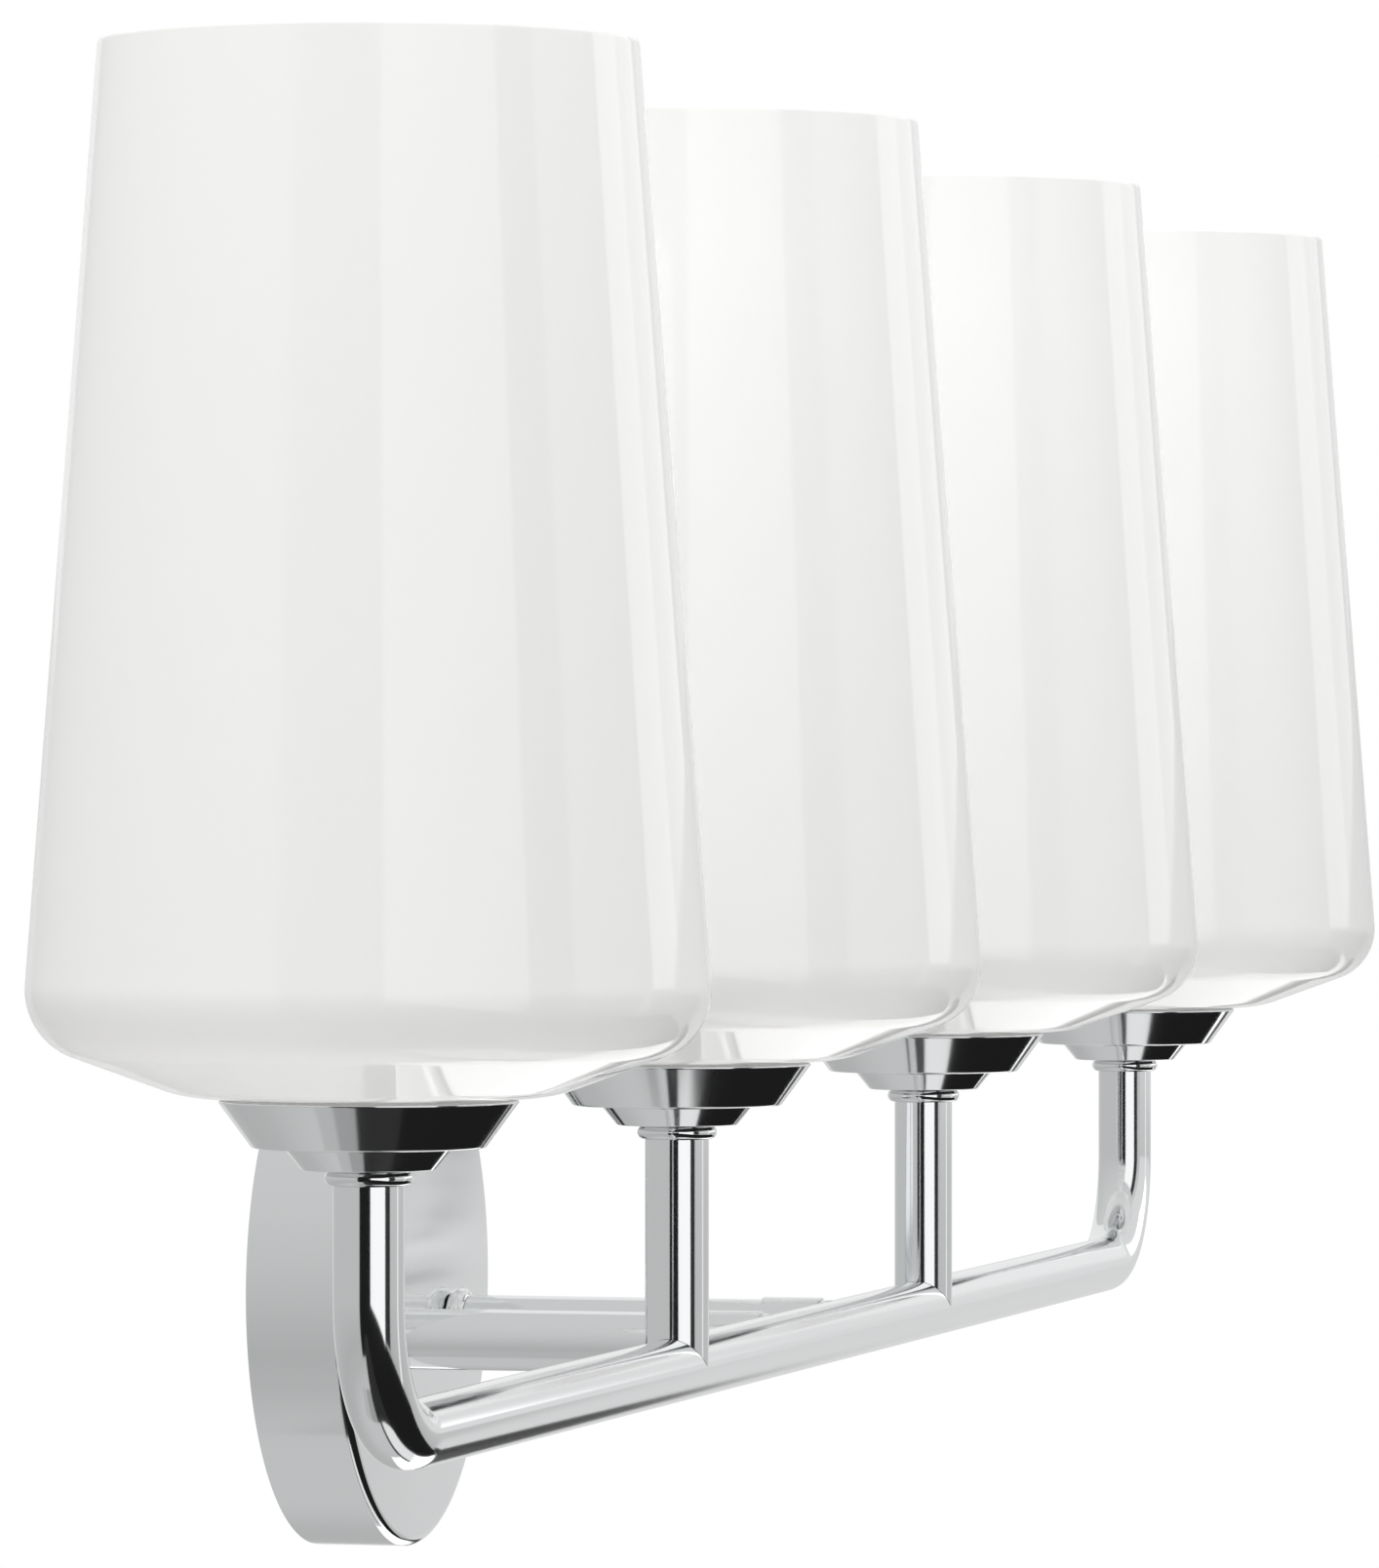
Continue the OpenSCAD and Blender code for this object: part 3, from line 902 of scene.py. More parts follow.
def bead_corners(radius: float, width: float, hole: float) -> list[Corner]:
    """Gives the section of a ring with a half-round edge.

    Args:
        radius: The ring's outside radius.
        width: How thick the ring is.
        hole: The radius of its hole.

    Returns:
        The section's corners.
    """
    half = width / 2
    edge = [Corner(radius, 0.0, fillet=half), Corner(radius, width, fillet=half)]
    return [Corner(hole, 0.0), *edge, Corner(hole, width)]


# ---- the canopy ----


@dataclass(frozen=True)
class Fitting:
    """A plate or fastener that keeps its CAD node's shape, with its edges eased."""

    name: str
    node: str
    finish: Finish
    easing: float


@dataclass
class Canopy:
    """The round cover on the wall, with what holds it and what it hides."""

    wall: float = 0.001
    edge_radius: float = 0.0022
    open_edge: float = 0.0003
    edge_steps: int = 12
    screw_hole: float = 0.0021
    segments: int = 256

    FITTINGS = (
        Fitting("steel_stiffener", "canopy_stiffener", STEEL, easing=0.0003),
        Fitting("steel_mounting_plate", "mounting_plate", STEEL, easing=0.0003),
        Fitting("set_screws", "canopy_set_screws", ZINC, easing=0.0002),
        Fitting("earth_screw", "ground_screw", GREEN_SCREW, easing=0.0003),
        Fitting("arm_hex_nuts", "arm_nuts", ZINC, easing=0.0003),
        Fitting("arm_lock_washers", "arm_star_washers", ZINC, easing=0.00015),
    )

    def build(self) -> None:
        """Builds the cover, the plates and the fasteners."""
        put("chrome_canopy", self.cover(), CHROME, replaces=["canopy"])
        for part in self.FITTINGS:
            put(part.name, eased_copy(part.node, part.easing), part.finish, replaces=[part.node])
        dress_node("arm_nipples", ZINC)
        dress_node("arm_bushings", BRASS)
        dress_node("ground_lead", COPPER)

    def cover(self) -> bmesh.types.BMesh:
        """Turns the cover with its softly rounded edge, and drills its screw holes.

        Returns:
            The cover's mesh.
        """
        low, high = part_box("canopy")
        radius, depth = (high.x - low.x) / 2, high.y - low.y
        inside = radius - self.wall
        outline = rounded(
            [
                Corner(0.0, depth),
                Corner(radius, depth, fillet=self.edge_radius),
                Corner(radius, 0.0, fillet=self.open_edge),
                Corner(inside, 0.0, fillet=self.open_edge),
                Corner(inside, depth - self.wall, fillet=self.edge_radius - self.wall),
                Corner(0.0, depth - self.wall),
            ],
            self.edge_steps,
        )
        centre = (low + high) / 2
        shape = turned(outline, (centre.x, high.y, centre.z), Lay.OUT, self.segments)
        screw = middle("canopy_set_screws")
        return drilled(shape, (screw.x, screw.y, screw.z), self.screw_hole, 3 * radius)


def drilled(
    shape: bmesh.types.BMesh, at: Sequence[float], radius: float, length: float
) -> bmesh.types.BMesh:
    """Drills an upright round hole through a mesh.

    Args:
        shape: The mesh; it is freed.
        at: The middle of the hole.
        radius: The hole's radius.
        length: How long the drill is.

    Returns:
        The drilled mesh.
    """
    drill = bmesh.new()
    bmesh.ops.create_cone(
        drill,
        cap_ends=True,
        segments=48,
        radius1=radius,
        radius2=radius,
        depth=length,
        matrix=Matrix.Translation(at),
    )
    blank, tool = (loose_object(part) for part in (shape, drill))
    cut = blank.modifiers.new("drill", "BOOLEAN")
    cut.object = tool
    cut.solver = "EXACT"
    bpy.context.view_layer.update()
    result = bmesh.new()
    result.from_mesh(blank.evaluated_get(bpy.context.evaluated_depsgraph_get()).to_mesh())
    for spare in (blank, tool):
        mesh = spare.data
        bpy.data.objects.remove(spare)
        bpy.data.meshes.remove(mesh)
    return result


def loose_object(shape: bmesh.types.BMesh) -> bpy.types.Object:
    """Makes a passing object of a mesh.

    Args:
        shape: The mesh; it is freed.

    Returns:
        The object.
    """
    mesh = bpy.data.meshes.new("passing")
    shape.to_mesh(mesh)
    shape.free()
    made = bpy.data.objects.new("passing", mesh)
    bpy.context.scene.collection.objects.link(made)
    return made


# ---- wiring ----


@dataclass
class Wiring:
    """The leads from the lampholders and the two twist-on connectors that join them."""

    radius: float = 0.0056
    tip_ratio: float = 0.72
    bore: float = 0.0046
    bore_depth: float = 0.012
    tip_easing: float = 0.0014
    mouth_easing: float = 0.0003
    bore_easing: float = 0.0006
    segments: int = 144
    side_steps: int = 30
    grip: Relief = Relief(low=0.0022, high=0.0175, least=0.004, depth=0.0006, around=12.0)

    def build(self) -> None:
        """Dresses the leads and builds both connectors."""
        dress_node("black_leads", BLACK_LEAD)
        dress_node("white_leads", WHITE_LEAD)
        low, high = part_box("wire_connectors")
        left = Vector((low.x + self.radius, low.y + self.radius, low.z))
        right = Vector((high.x - self.radius, high.y - self.radius, low.z))
        height = high.z - low.z
        caps = joined(self.connector(foot, height) for foot in (left, right))
        put("twist_on_connectors", caps, ORANGE_CAP, replaces=["wire_connectors"])

    def connector(self, foot: Vector, height: float) -> bmesh.types.BMesh:
        """Turns a tapered cap with grip ribs and an open mouth.

        Args:
            foot: The middle of its mouth.
            height: How tall it is.

        Returns:
            The cap's mesh.
        """
        tip = self.radius * self.tip_ratio
        taper = (tip - self.radius) / height
        low, high = self.grip.low, self.grip.high
        start, end = self.radius + taper * low, self.radius + taper * high
        outline = rounded(
            [
                Corner(self.bore, 0.0, fillet=self.mouth_easing),
                Corner(self.radius, 0.0, fillet=self.mouth_easing),
                *climb(start, low, high, self.side_steps, end),
                Corner(tip, height, fillet=self.tip_easing),
                Corner(0.0, height),
                Corner(0.0, self.bore_depth),
                Corner(self.bore, self.bore_depth, fillet=self.bore_easing),
            ]
        )
        shape = turned(outline, foot, segments=self.segments)
        self.grip.cut(shape, foot)
        return shape


# ---- the lights ----


@dataclass
class Lampholder:
    """A porcelain lampholder, threaded outside for the shade ring, and its brass screw shell."""

    base: float = 0.015
    foot_band: float = 0.0065
    foot_groove: tuple[float, float] = (0.0072, 0.0082)  # the heights of its two corners
    rim_groove: tuple[float, float] = (0.0453, 0.0464)
    rim_band: float = 0.0470
    groove_depth: float = 0.0007
    thread_inset: float = 0.0001
    rim_inset: float = 0.0002
    easing: float = 0.0004
    rim_easing: float = 0.0012
    cavity: float = 0.0144
    well: float = 0.0065
    well_depth: float = 0.0026
    hole: float = 0.0049
    hole_depth: float = 0.0082
    lead_hole: float = 0.0026
    lead_depth: float = 0.0091
    shell_sheet: float = 0.0003
    shell_hole: float = 0.007
    shell_corner: float = 0.0012
    shell_edge: float = 0.0001
    segments: int = 96
    corner_steps: int = 6
    thread_steps: int = 106
    shell_steps: int = 80
    outer_thread: Relief = thread(low=0.009, high=0.0445, least=0.0185, depth=0.0005, pitch=0.003)
    lamp_thread: Relief = thread(low=0.0025, high=0.0265, least=0.0125, depth=0.00048, pitch=0.00363)

    def body(self, node: str) -> bmesh.types.BMesh:
        """Turns the porcelain with its base, its threaded skirt and its rounded rim.

        Args:
            node: The CAD lampholder that it stands for.

        Returns:
            The body's mesh.
        """
        low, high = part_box(node)
        radius, height = (high.x - low.x) / 2, high.z - low.z
        groove, rim = radius - self.groove_depth, radius - self.rim_inset
        well_floor = self.base - self.well_depth
        cut = self.outer_thread
        outline = rounded(
            [
                Corner(self.hole, 0.0, fillet=0.0003),
                Corner(radius, 0.0, fillet=0.0009),
                Corner(radius, self.foot_band, fillet=0.0005),
                *(Corner(groove, place, fillet=self.easing) for place in self.foot_groove),
                *climb(radius - self.thread_inset, cut.low, cut.high, self.thread_steps),
                *(Corner(groove, place, fillet=self.easing) for place in self.rim_groove),
                Corner(rim, self.rim_band, fillet=self.easing),
                Corner(rim, height, fillet=self.rim_easing),
                Corner(self.cavity, height, fillet=self.rim_easing),
                Corner(self.cavity, self.base, fillet=0.0008),
                Corner(self.well, self.base, fillet=self.easing),
                Corner(self.well, well_floor, fillet=self.easing),
                Corner(0.0, well_floor),
                Corner(0.0, self.lead_depth),
                Corner(self.lead_hole, self.lead_depth),
                Corner(self.lead_hole, self.hole_depth),
                Corner(self.hole, self.hole_depth),
            ],
            self.corner_steps,
        )
        foot = Vector((*((low + high) / 2).xy, low.z))
        shape = turned(outline, foot, segments=self.segments)
        cut.cut(shape, foot)
        return shape

    def shell(self, node: str) -> bmesh.types.BMesh:
        """Turns the thin brass shell and rolls the lamp's thread into it.

        Args:
            node: The CAD shell that it stands for.

        Returns:
            The shell's mesh.
        """
        low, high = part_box(node)
        radius, height = (high.x - low.x) / 2, high.z - low.z
        inside = radius - self.shell_sheet
        roll = self.lamp_thread
        outline = rounded(
            [
                Corner(self.shell_hole, 0.0),
                Corner(radius, 0.0, fillet=self.shell_corner),
                *climb(radius, roll.low, roll.high, self.shell_steps),
                Corner(radius, height, fillet=self.shell_edge),
                Corner(inside, height, fillet=self.shell_edge),
                *climb(inside, roll.high, roll.low, self.shell_steps),
                Corner(inside, self.shell_sheet, fillet=self.shell_corner - self.shell_sheet),
                Corner(self.shell_hole, self.shell_sheet),
            ],
            self.corner_steps,
        )
        foot = Vector((*((low + high) / 2).xy, low.z))
        shape = turned(outline, foot, segments=self.segments)
        roll.cut(shape, foot)
        return shape


@dataclass
class Light:
    """One light: its chrome holder, its lampholder, its glass shade and the ring that clamps it."""

    number: int
    hole: float = 0.0049
    cone_low: float = 0.0131
    cone_edge: float = 0.0003
    cup_low: float = 0.02275
    cup_floor: float = 0.0012
    cup_wall: float = 0.0014
    cup_edge: float = 0.0004
    lip: float = 0.0032
    lip_sheet: float = 0.001
    lip_root: Point = (0.0018, 0.0012)  # how far in and down from the cup's edge it leaves the wall
    flat_radius: float = 0.036
    slope: float = math.radians(20)
    corner_radius: float = 0.014
    blend_radius: float = 0.026
    top_radius: float = 0.05275
    glass: float = 0.0036
    glass_hole: float = 0.021
    glass_segments: int = 256
    blend_steps: int = 10
    corner_steps: int = 28
    rim_steps: int = 16
    ring_easing: float = 0.0003

    def node(self, stem: str) -> str:
        """Gives the name of this light's CAD node of a kind."""
        return f"{stem}_{self.number}"

    def axis(self, node: str) -> Vector:
        """Gives the point on this light's axis at a node's lower side."""
        low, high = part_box(node)
        return Vector(((low.x + high.x) / 2, (low.y + high.y) / 2, low.z))

    def build(self) -> None:
        """Builds the light from the bead ring up."""
        self.add("bead_ring", self.bead(), CHROME)
        self.add("holder_cone", self.cone(), CHROME)
        self.add("holder_cup", self.cup(), CHROME)
        self.add("glass_shade", self.shade(), OPAL, body=f"shade_{self.number}")
        ring = eased_copy(self.node("shade_ring"), self.ring_easing)
        self.add("shade_ring", ring, PHENOLIC, body=f"ring_{self.number}")
        holder = Lampholder()
        self.add("socket_body", holder.body(self.node("socket_body")), PORCELAIN)
        self.add("socket_shell", holder.shell(self.node("socket_shell")), BRASS)

    def add(self, stem: str, shape: bmesh.types.BMesh, finish: Finish, body: str = "root") -> None:
        """Puts in a piece that stands for this light's CAD node of a kind."""
        put(f"finished_{self.node(stem)}", shape, finish, replaces=[self.node(stem)], body=body)

    def bead(self) -> bmesh.types.BMesh:
        """Turns the bead ring on top of the post.

        Returns:
            The ring's mesh.
        """
        node = self.node("bead_ring")
        low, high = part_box(node)
        corners = bead_corners((high.x - low.x) / 2, high.z - low.z, self.hole)
        return turned(rounded(corners, BEAD_STEPS), self.axis(node))

    def cone(self) -> bmesh.types.BMesh:
        """Turns the small cone under the cup.

        Returns:
            The cone's mesh.
        """
        node = self.node("holder_cone")
        low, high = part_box(node)
        top, height = (high.x - low.x) / 2, high.z - low.z
        corners = [
            Corner(self.hole, 0.0),
            Corner(self.cone_low, 0.0, fillet=0.0005),
            Corner(top, height - self.cone_edge, fillet=0.0002),
            Corner(top, height, fillet=0.0001),
            Corner(self.hole, height),
        ]
        return turned(rounded(corners), self.axis(node))

    def cup(self) -> bmesh.types.BMesh:
        """Turns the spun cup, with its lip turned inwards under the glass.

        Returns:
            The cup's mesh.
        """
        node = self.node("holder_cup")
        low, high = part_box(node)
        top, height = (high.x - low.x) / 2, high.z - low.z
        lip = top - self.lip
        root_in, root_down = self.lip_root
        corners = [
            Corner(self.hole, 0.0),
            Corner(self.cup_low, 0.0, fillet=0.0009),
            Corner(top, height - self.cup_edge, fillet=0.0003),
            Corner(top, height, fillet=0.0002),
            Corner(lip, height, fillet=0.0003),
            Corner(lip, height - self.lip_sheet),
            Corner(top - root_in, height - root_down),
            Corner(self.cup_low - self.cup_wall, self.cup_floor),
            Corner(self.hole, self.cup_floor),
        ]
        return turned(rounded(corners), self.axis(node))

    def shade(self) -> bmesh.types.BMesh:
        """Turns the glass: a flat under it, a slope, a round corner and a tapered wall.

        Returns:
            The glass's mesh.
        """
        node = self.node("glass_shade")
        low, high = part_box(node)
        radius, height, half = (high.x - low.x) / 2, high.z - low.z, self.glass / 2
        under = self.slope - math.pi / 2
        foot_x = radius - self.corner_radius
        slope_x = foot_x + self.corner_radius * math.cos(under)
        rise = (slope_x - self.flat_radius) * math.tan(self.slope)
        foot = (foot_x, rise - self.corner_radius * math.sin(under))
        rim = (self.top_radius - half, height - half)
        way = Vector(rim) - Vector(foot)
        lean = math.atan2(way.y, way.x) - math.acos((self.corner_radius - half) / way.length)
        blend = (self.flat_radius - self.blend_radius * math.tan(self.slope / 2), self.blend_radius)
        outline = (
            [(self.glass_hole, 0.0)]
            + arc(blend, self.blend_radius, -math.pi / 2, under, self.blend_steps)
            + arc(foot, self.corner_radius, under, lean, self.corner_steps)
            + arc(rim, half, lean, math.pi + lean, self.rim_steps)
            + arc(foot, self.corner_radius - self.glass, lean, under, self.corner_steps)
            + arc(blend, self.blend_radius - self.glass, under, -math.pi / 2, self.blend_steps)
            + [(self.glass_hole, self.glass)]
        )
        return turned(outline, self.axis(node), segments=self.glass_segments)


class SharedParts:
    """What the CAD holds as one node for all four lights."""

    FINISHES = {
        "shade_gaskets": SILICONE,
        "socket_nipples": ZINC,
        "socket_washers": ZINC,
        "post_bushings": BRASS,
        "socket_contacts": BRASS,
    }

    def build(self) -> None:
        """Dresses the gaskets, nipples, washers, bushings and contacts."""
        for node, finish in self.FINISHES.items():
            dress_node(node, finish)


# ---- studio and camera ----


@dataclass(frozen=True)
class Card:
    """A curved studio card round the first light, seen only in reflections.

    Its sides are degrees from the camera's direction, positive to the camera's right,
    and its lower and upper edges are degrees above the light's bead ring. Its upper edge
    may fall towards the right by so many degrees.
    """

    name: str
    tone: float
    left: float
    right: float
    low: float
    high: float
    distance: float = 1.9
    fall: float = 0.0


@dataclass(frozen=True)
class Board:
    """A flat level studio card under the light, seen only in reflections."""

    name: str
    tone: float
    corners: tuple[Point, ...]
    z: float = -0.8


@dataclass(frozen=True)
class Lamp:
    """A broad level lamp over or under the light, which only shades it."""

    name: str
    x: float
    z: float
    power: float
    length: float
    width: float


@dataclass
class Studio:
    """Plain soft light on a pale floor, with cards that the chrome and glass mirror."""

    fill: float = 0.34
    card_steps: int = 24
    floor_z: float = -1.25
    floor_size: float = 24.0
    floor_near: float = 3.5  # how far out it starts to fade from the camera's sight
    floor_far: float = 11.0  # how far out the camera no longer sees it
    floor_lit: Rgb = (0.80, 0.795, 0.785)
    floor_seen: Rgb = (0.28, 0.278, 0.275)  # darker, because it glows as well
    floor_glow: float = 0.55

    # what the chrome sees where there is no card: heights from straight down to straight up, and tones
    AROUND = (
        (-1.0, 0.60), (-0.88, 0.585), (-0.68, 0.50), (-0.46, 0.475), (-0.16, 0.53), (0.0, 0.56),
        (0.24, 0.60), (0.60, 0.64), (1.0, 0.66),
    )
    LAMPS = (
        Lamp("overhead_lamp", x=-0.76, z=0.72, power=34.5, length=3.1, width=2.4),
        Lamp("low_lamp", x=-0.15, z=-1.1, power=7.9, length=1.8, width=0.9),
    )
    CARDS = (
        Card("black_flag", 0.012, -28.0, 7.0, -38.0, 50.0),
        Card("soft_box", 1.08, 7.0, 56.0, -30.0, 42.0),
        Card("low_flag", 0.012, 7.0, 56.0, -40.0, -5.5, distance=1.88, fall=18.5),
        Card("thin_flag", 0.03, 56.0, 74.0, -22.0, 42.0),
        Card("light_screen", 0.76, 74.0, 155.0, -2.0, 45.0, distance=6.0),
        Card("dim_strip", 0.95, 106.0, 112.0, -22.0, 3.0, distance=5.8),
        Card("bright_strip", 1.75, 112.0, 130.0, 3.0, 19.0, distance=5.8),
        Card("flank_strip", 1.30, 130.0, 150.0, 3.0, 19.0, distance=5.8),
        Card("dark_gap", 0.30, 155.0, 158.0, 12.0, 60.0, distance=6.0),
        Card("backdrop", 0.88, 155.0, 206.5, 3.0, 45.0, distance=6.0),
        Card("low_backdrop", 0.72, 150.0, 206.5, -15.0, 3.0, distance=6.0),
        Card("dark_sill", 0.05, 150.0, 178.0, -18.5, -15.0, distance=6.0),
        Card("low_glow", 1.45, 120.0, 181.0, -52.0, -20.0, distance=6.0),
    )
    BOARDS = (
        Board(
            "low_black_board", 0.012,
            ((-2.2, -2.0), (2.0, -2.0), (2.0, -0.46), (-0.16, -0.425), (-2.2, -0.425)),
        ),
        Board(
            "low_black_end", 0.030,
            (
                (-2.2, -0.425), (-0.16, -0.425), (-0.26, -0.38), (-0.36, -0.28), (-0.38, -0.19),
                (-0.38, -0.09), (-2.2, -0.09),
            ),
        ),
        Board("low_grey_end", 0.36, ((-0.80, -0.09), (-0.38, -0.09), (-0.38, 0.09), (-0.80, 0.09))),
        Board("low_pale_end", 0.50, ((-0.80, 0.09), (-0.38, 0.09), (-0.38, 0.25), (-0.80, 0.25))),
        Board(
            "low_light_strip", 0.85,
            (
                (-0.38, -0.19), (-0.36, -0.28), (-0.26, -0.38), (-0.16, -0.425), (0.6, -0.46), (0.6, -0.19),
            ),
        ),
        Board("low_dark_gap", 0.03, ((-0.38, -0.19), (0.6, -0.19), (0.6, -0.14), (-0.38, -0.14))),
    )

    def build(self) -> None:
        """Sets up the world, the floor, the lamps, the cards and the boards."""
        self.world()
        self.floor()
        for lamp in self.LAMPS:
            self.hang(lamp)
        for card in self.CARDS:
            self.curved(card)
        for board in self.BOARDS:
            self.flat(board)

    def world(self) -> None:
        """Lights the room evenly; the camera sees it white and the chrome sees graded greys."""
        world = bpy.data.worlds.new("studio")
        world.use_nodes = True
        bpy.context.scene.world = world
        nodes, links = world.node_tree.nodes, world.node_tree.links
        nodes.clear()
        path = nodes.new("ShaderNodeLightPath")

        def even(tone: float) -> bpy.types.NodeSocket:
            """Gives an even background of one grey.

            Args:
                tone: The grey, where 1 is white.

            Returns:
                The background's socket.
            """
            node = nodes.new("ShaderNodeBackground")
            node.inputs["Color"].default_value = (tone, tone, tone, 1.0)
            return node.outputs["Background"]

        def graded() -> bpy.types.NodeSocket:
            """Gives a background whose grey goes by the height that a ray points to.

            Returns:
                The background's socket.
            """
            parts = nodes.new("ShaderNodeSeparateXYZ")
            links.new(nodes.new("ShaderNodeTexCoord").outputs["Generated"], parts.inputs[0])
            height = nodes.new("ShaderNodeMapRange")
            height.inputs["From Min"].default_value = -1.0
            links.new(parts.outputs["Z"], height.inputs["Value"])
            ramp = nodes.new("ShaderNodeValToRGB")
            links.new(height.outputs["Result"], ramp.inputs["Fac"])
            stops = ramp.color_ramp.elements
            for place, tone in self.AROUND[1:-1]:
                stops.new((place + 1.0) / 2).color = (tone, tone, tone, 1.0)
            for stop, (_, tone) in ((stops[0], self.AROUND[0]), (stops[-1], self.AROUND[-1])):
                stop.color = (tone, tone, tone, 1.0)
            node = nodes.new("ShaderNodeBackground")
            links.new(ramp.outputs["Color"], node.inputs["Color"])
            return node.outputs["Background"]

        def either(
            choice: str, no: bpy.types.NodeSocket, yes: bpy.types.NodeSocket
        ) -> bpy.types.NodeSocket:
            """Gives one background for a kind of ray and another for the rest.

            Args:
                choice: The kind of ray, by the Light Path node's name for it.
                no: The background for the rest.
                yes: The background for that kind.

            Returns:
                The mixed background's socket.
            """
            node = nodes.new("ShaderNodeMixShader")
            links.new(path.outputs[choice], node.inputs[0])
            links.new(no, node.inputs[1])
            links.new(yes, node.inputs[2])
            return node.outputs[0]

        white = even(1.0)
        mixed = either("Is Glossy Ray", even(self.fill), graded())
        mixed = either("Is Transmission Ray", mixed, white)
        mixed = either("Is Camera Ray", mixed, white)
        links.new(mixed, nodes.new("ShaderNodeOutputWorld").inputs["Surface"])

    def floor(self) -> None:
        """Lays the plain floor, which the chrome and glass don't mirror."""
        shape = bmesh.new()
        bmesh.ops.create_grid(shape, x_segments=1, y_segments=1, size=self.floor_size / 2)
        bmesh.ops.translate(shape, verts=shape.verts, vec=(0, 0, self.floor_z))
        self.place("floor", shape, self.floor_paint()).visible_glossy = False

    def floor_paint(self) -> bpy.types.Material:
        """Makes the floor's material, which to the camera is even, edgeless and clear from below.

        Returns:
            The material.
        """
        sheet = NodeSheet("pale_floor")
        sheet.set(Roughness=0.9, Emission_Color=(self.floor_glow, self.floor_glow, self.floor_glow, 1.0))
        seen = sheet.add("ShaderNodeLightPath").outputs["Is Camera Ray"]
        sheet.join(sheet.blended(seen, self.floor_lit, self.floor_seen), sheet.shader.inputs["Base Color"])
        sheet.join(seen, sheet.shader.inputs["Emission Strength"])
        distance = sheet.add("ShaderNodeVectorMath")
        distance.operation = "LENGTH"
        sheet.join(sheet.place, distance.inputs[0])
        fade = sheet.add("ShaderNodeMapRange", From_Min=self.floor_near, From_Max=self.floor_far)
        fade.interpolation_type = "SMOOTHSTEP"
        sheet.join(distance.outputs["Value"], fade.inputs["Value"])
        below = sheet.add("ShaderNodeNewGeometry").outputs["Backfacing"]
        clear = sheet.worked("MAXIMUM", sheet.worked("MULTIPLY", fade.outputs["Result"], seen), below)
        surface = sheet.add("ShaderNodeMixShader")
        sheet.join(clear, surface.inputs[0])
        sheet.join(sheet.shader.outputs["BSDF"], surface.inputs[1])
        sheet.join(sheet.add("ShaderNodeBsdfTransparent").outputs["BSDF"], surface.inputs[2])
        sheet.join(surface.outputs["Shader"], sheet.tree.nodes["Material Output"].inputs["Surface"])
        return sheet.material

    def hang(self, lamp: Lamp) -> None:
        """Hangs a lamp level, shining down if it is over the light and up if it is under it.

        Args:
            lamp: The lamp.
        """
        data = bpy.data.lights.new(lamp.name, "AREA")
        data.shape = "RECTANGLE"
        data.size, data.size_y = lamp.length, lamp.width
        data.energy = lamp.power
        made = bpy.data.objects.new(lamp.name, data)
        made.location = (lamp.x, middle("bar_tube").y, lamp.z)
        made.rotation_euler = (0.0 if lamp.z > 0.0 else math.pi, 0.0, 0.0)
        made.visible_glossy = False
        made.visible_camera = False
        bpy.context.scene.collection.objects.link(made)

    def curved(self, card: Card) -> None:
        """Bends a card round the first light.

        Args:
            card: The card.
        """
        centre = middle("bead_ring_1")
        start = math.pi + VIEW_ANGLE + math.radians(card.left)
        out = Vector((math.cos(start), math.sin(start), 0.0)) * card.distance
        up = Vector((0.0, 0.0, card.distance))
        shape = bmesh.new()
        foot = shape.verts.new(centre + out + up * math.tan(math.radians(card.low)))
        head = shape.verts.new(centre + out + up * math.tan(math.radians(card.high)))
        side = [foot, head, shape.edges.new((foot, head))]
        span = math.radians(card.right - card.left)
        bmesh.ops.spin(
            shape, geom=side, cent=centre, axis=(0, 0, 1), angle=span, steps=self.card_steps
        )
        half_way = (foot.co.z + head.co.z) / 2
        for vert in [v for v in shape.verts if card.fall and v.co.z > half_way]:
            along = out.xy.angle((vert.co - centre).xy) / span
            height = math.radians(card.high - card.fall * along)
            vert.co.z = centre.z + card.distance * math.tan(height)
        self.show(card.name, shape, card.tone)

    def flat(self, board: Board) -> None:
        """Lays a board level.

        Args:
            board: The board.
        """
        shape = bmesh.new()
        shape.faces.new([shape.verts.new((x, y, board.z)) for x, y in board.corners])
        self.show(board.name, shape, board.tone)

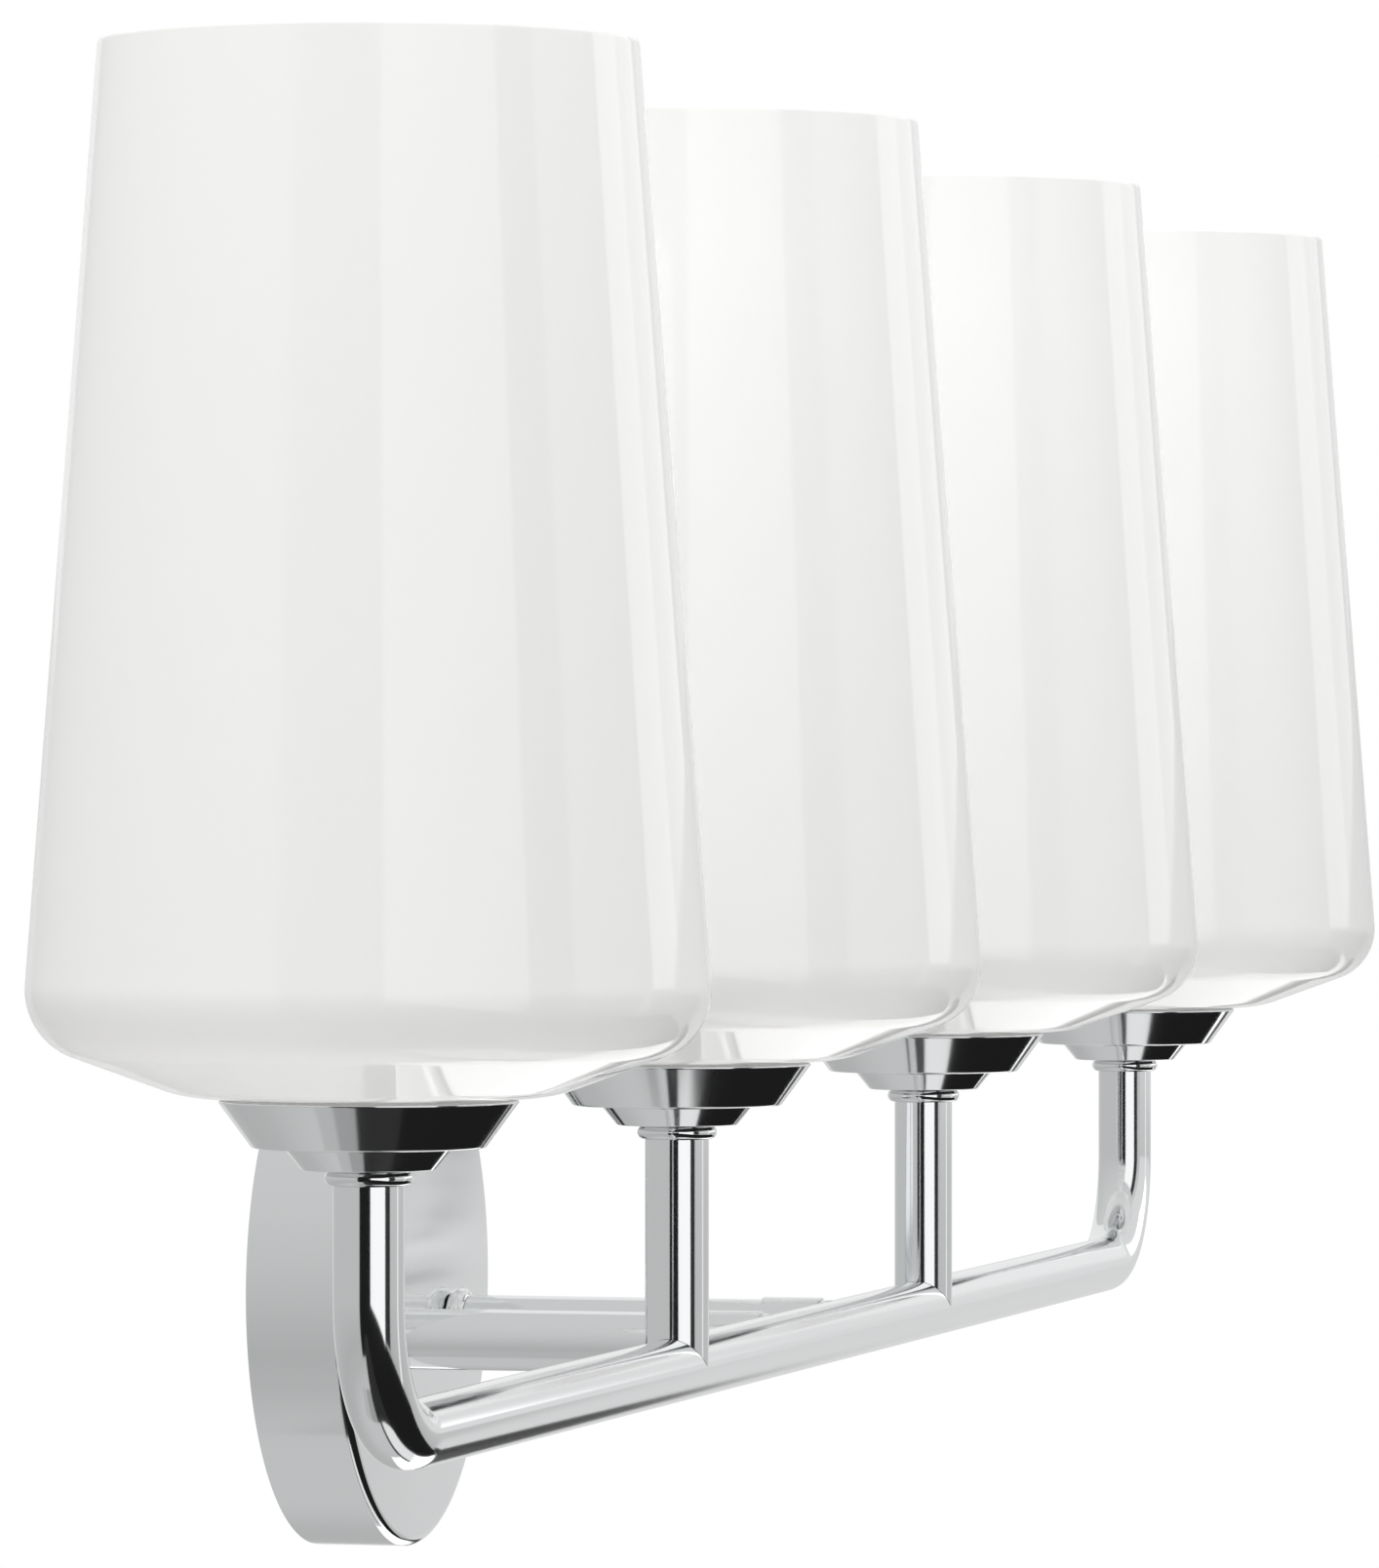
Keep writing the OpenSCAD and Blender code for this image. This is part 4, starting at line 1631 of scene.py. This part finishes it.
    def show(self, name: str, shape: bmesh.types.BMesh, tone: float) -> None:
        """Makes a card that only reflections see.

        Args:
            name: The card's name.
            shape: Its mesh; it is freed.
            tone: Its brightness, where 1 is white.
        """
        material = bpy.data.materials.new(name)
        material.use_nodes = True
        nodes = material.node_tree.nodes
        nodes.clear()
        glow = nodes.new("ShaderNodeEmission")
        glow.inputs["Color"].default_value = (1.0, 1.0, 1.0, 1.0)
        glow.inputs["Strength"].default_value = tone
        end = nodes.new("ShaderNodeOutputMaterial")
        material.node_tree.links.new(glow.outputs[0], end.inputs["Surface"])
        card = self.place(name, shape, material)
        card.visible_camera = False
        card.visible_diffuse = False
        card.visible_transmission = False
        card.visible_shadow = False

    def place(
        self, name: str, shape: bmesh.types.BMesh, material: bpy.types.Material
    ) -> bpy.types.Object:
        """Puts a piece of the studio into the scene.

        Args:
            name: Its name.
            shape: Its mesh; it is freed.
            material: Its material.

        Returns:
            The new object.
        """
        mesh = bpy.data.meshes.new(name)
        shape.to_mesh(mesh)
        shape.free()
        mesh.materials.append(material)
        made = bpy.data.objects.new(name, mesh)
        bpy.context.scene.collection.objects.link(made)
        return made


@dataclass
class Camera:
    """A level camera that looks along the bar from beyond the first light."""

    distance: float = 1.8
    aside: float = 0.0623
    height: float = 0.121
    lens: float = 212.7
    shift_y: float = -0.0116
    nearest: float = 0.05
    farthest: float = 50.0

    def build(self) -> None:
        """Sets the camera up beside the first light's axis."""
        data = bpy.data.cameras.new("camera")
        data.lens, data.shift_y = self.lens, self.shift_y
        data.clip_start, data.clip_end = self.nearest, self.farthest
        camera = bpy.data.objects.new("camera", data)
        light = middle("bead_ring_1")
        ahead = Vector((math.cos(VIEW_ANGLE), math.sin(VIEW_ANGLE), 0.0))
        right = Vector((ahead.y, -ahead.x, 0.0))
        spot = light - ahead * self.distance + right * self.aside
        camera.location = (spot.x, spot.y, self.height)
        camera.rotation_euler = (math.pi / 2, 0.0, VIEW_ANGLE - math.pi / 2)
        bpy.context.scene.collection.objects.link(camera)
        bpy.context.scene.camera = camera
        bpy.context.scene.view_settings.view_transform = "Standard"


def main() -> None:
    """Builds the light round its CAD frame, then the studio and the camera."""
    logging.basicConfig(level=logging.INFO, format="%(name)s: %(message)s")
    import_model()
    bar = Bar()
    assemblies = [bar, Arms(bar), Canopy(), Wiring(), SharedParts()]
    assemblies += [Light(number) for number in range(1, LIGHT_COUNT + 1)]
    for assembly in [*assemblies, Studio(), Camera()]:
        log.info("building %s", type(assembly).__name__)
        assembly.build()


if __name__ == "__main__":
    main()
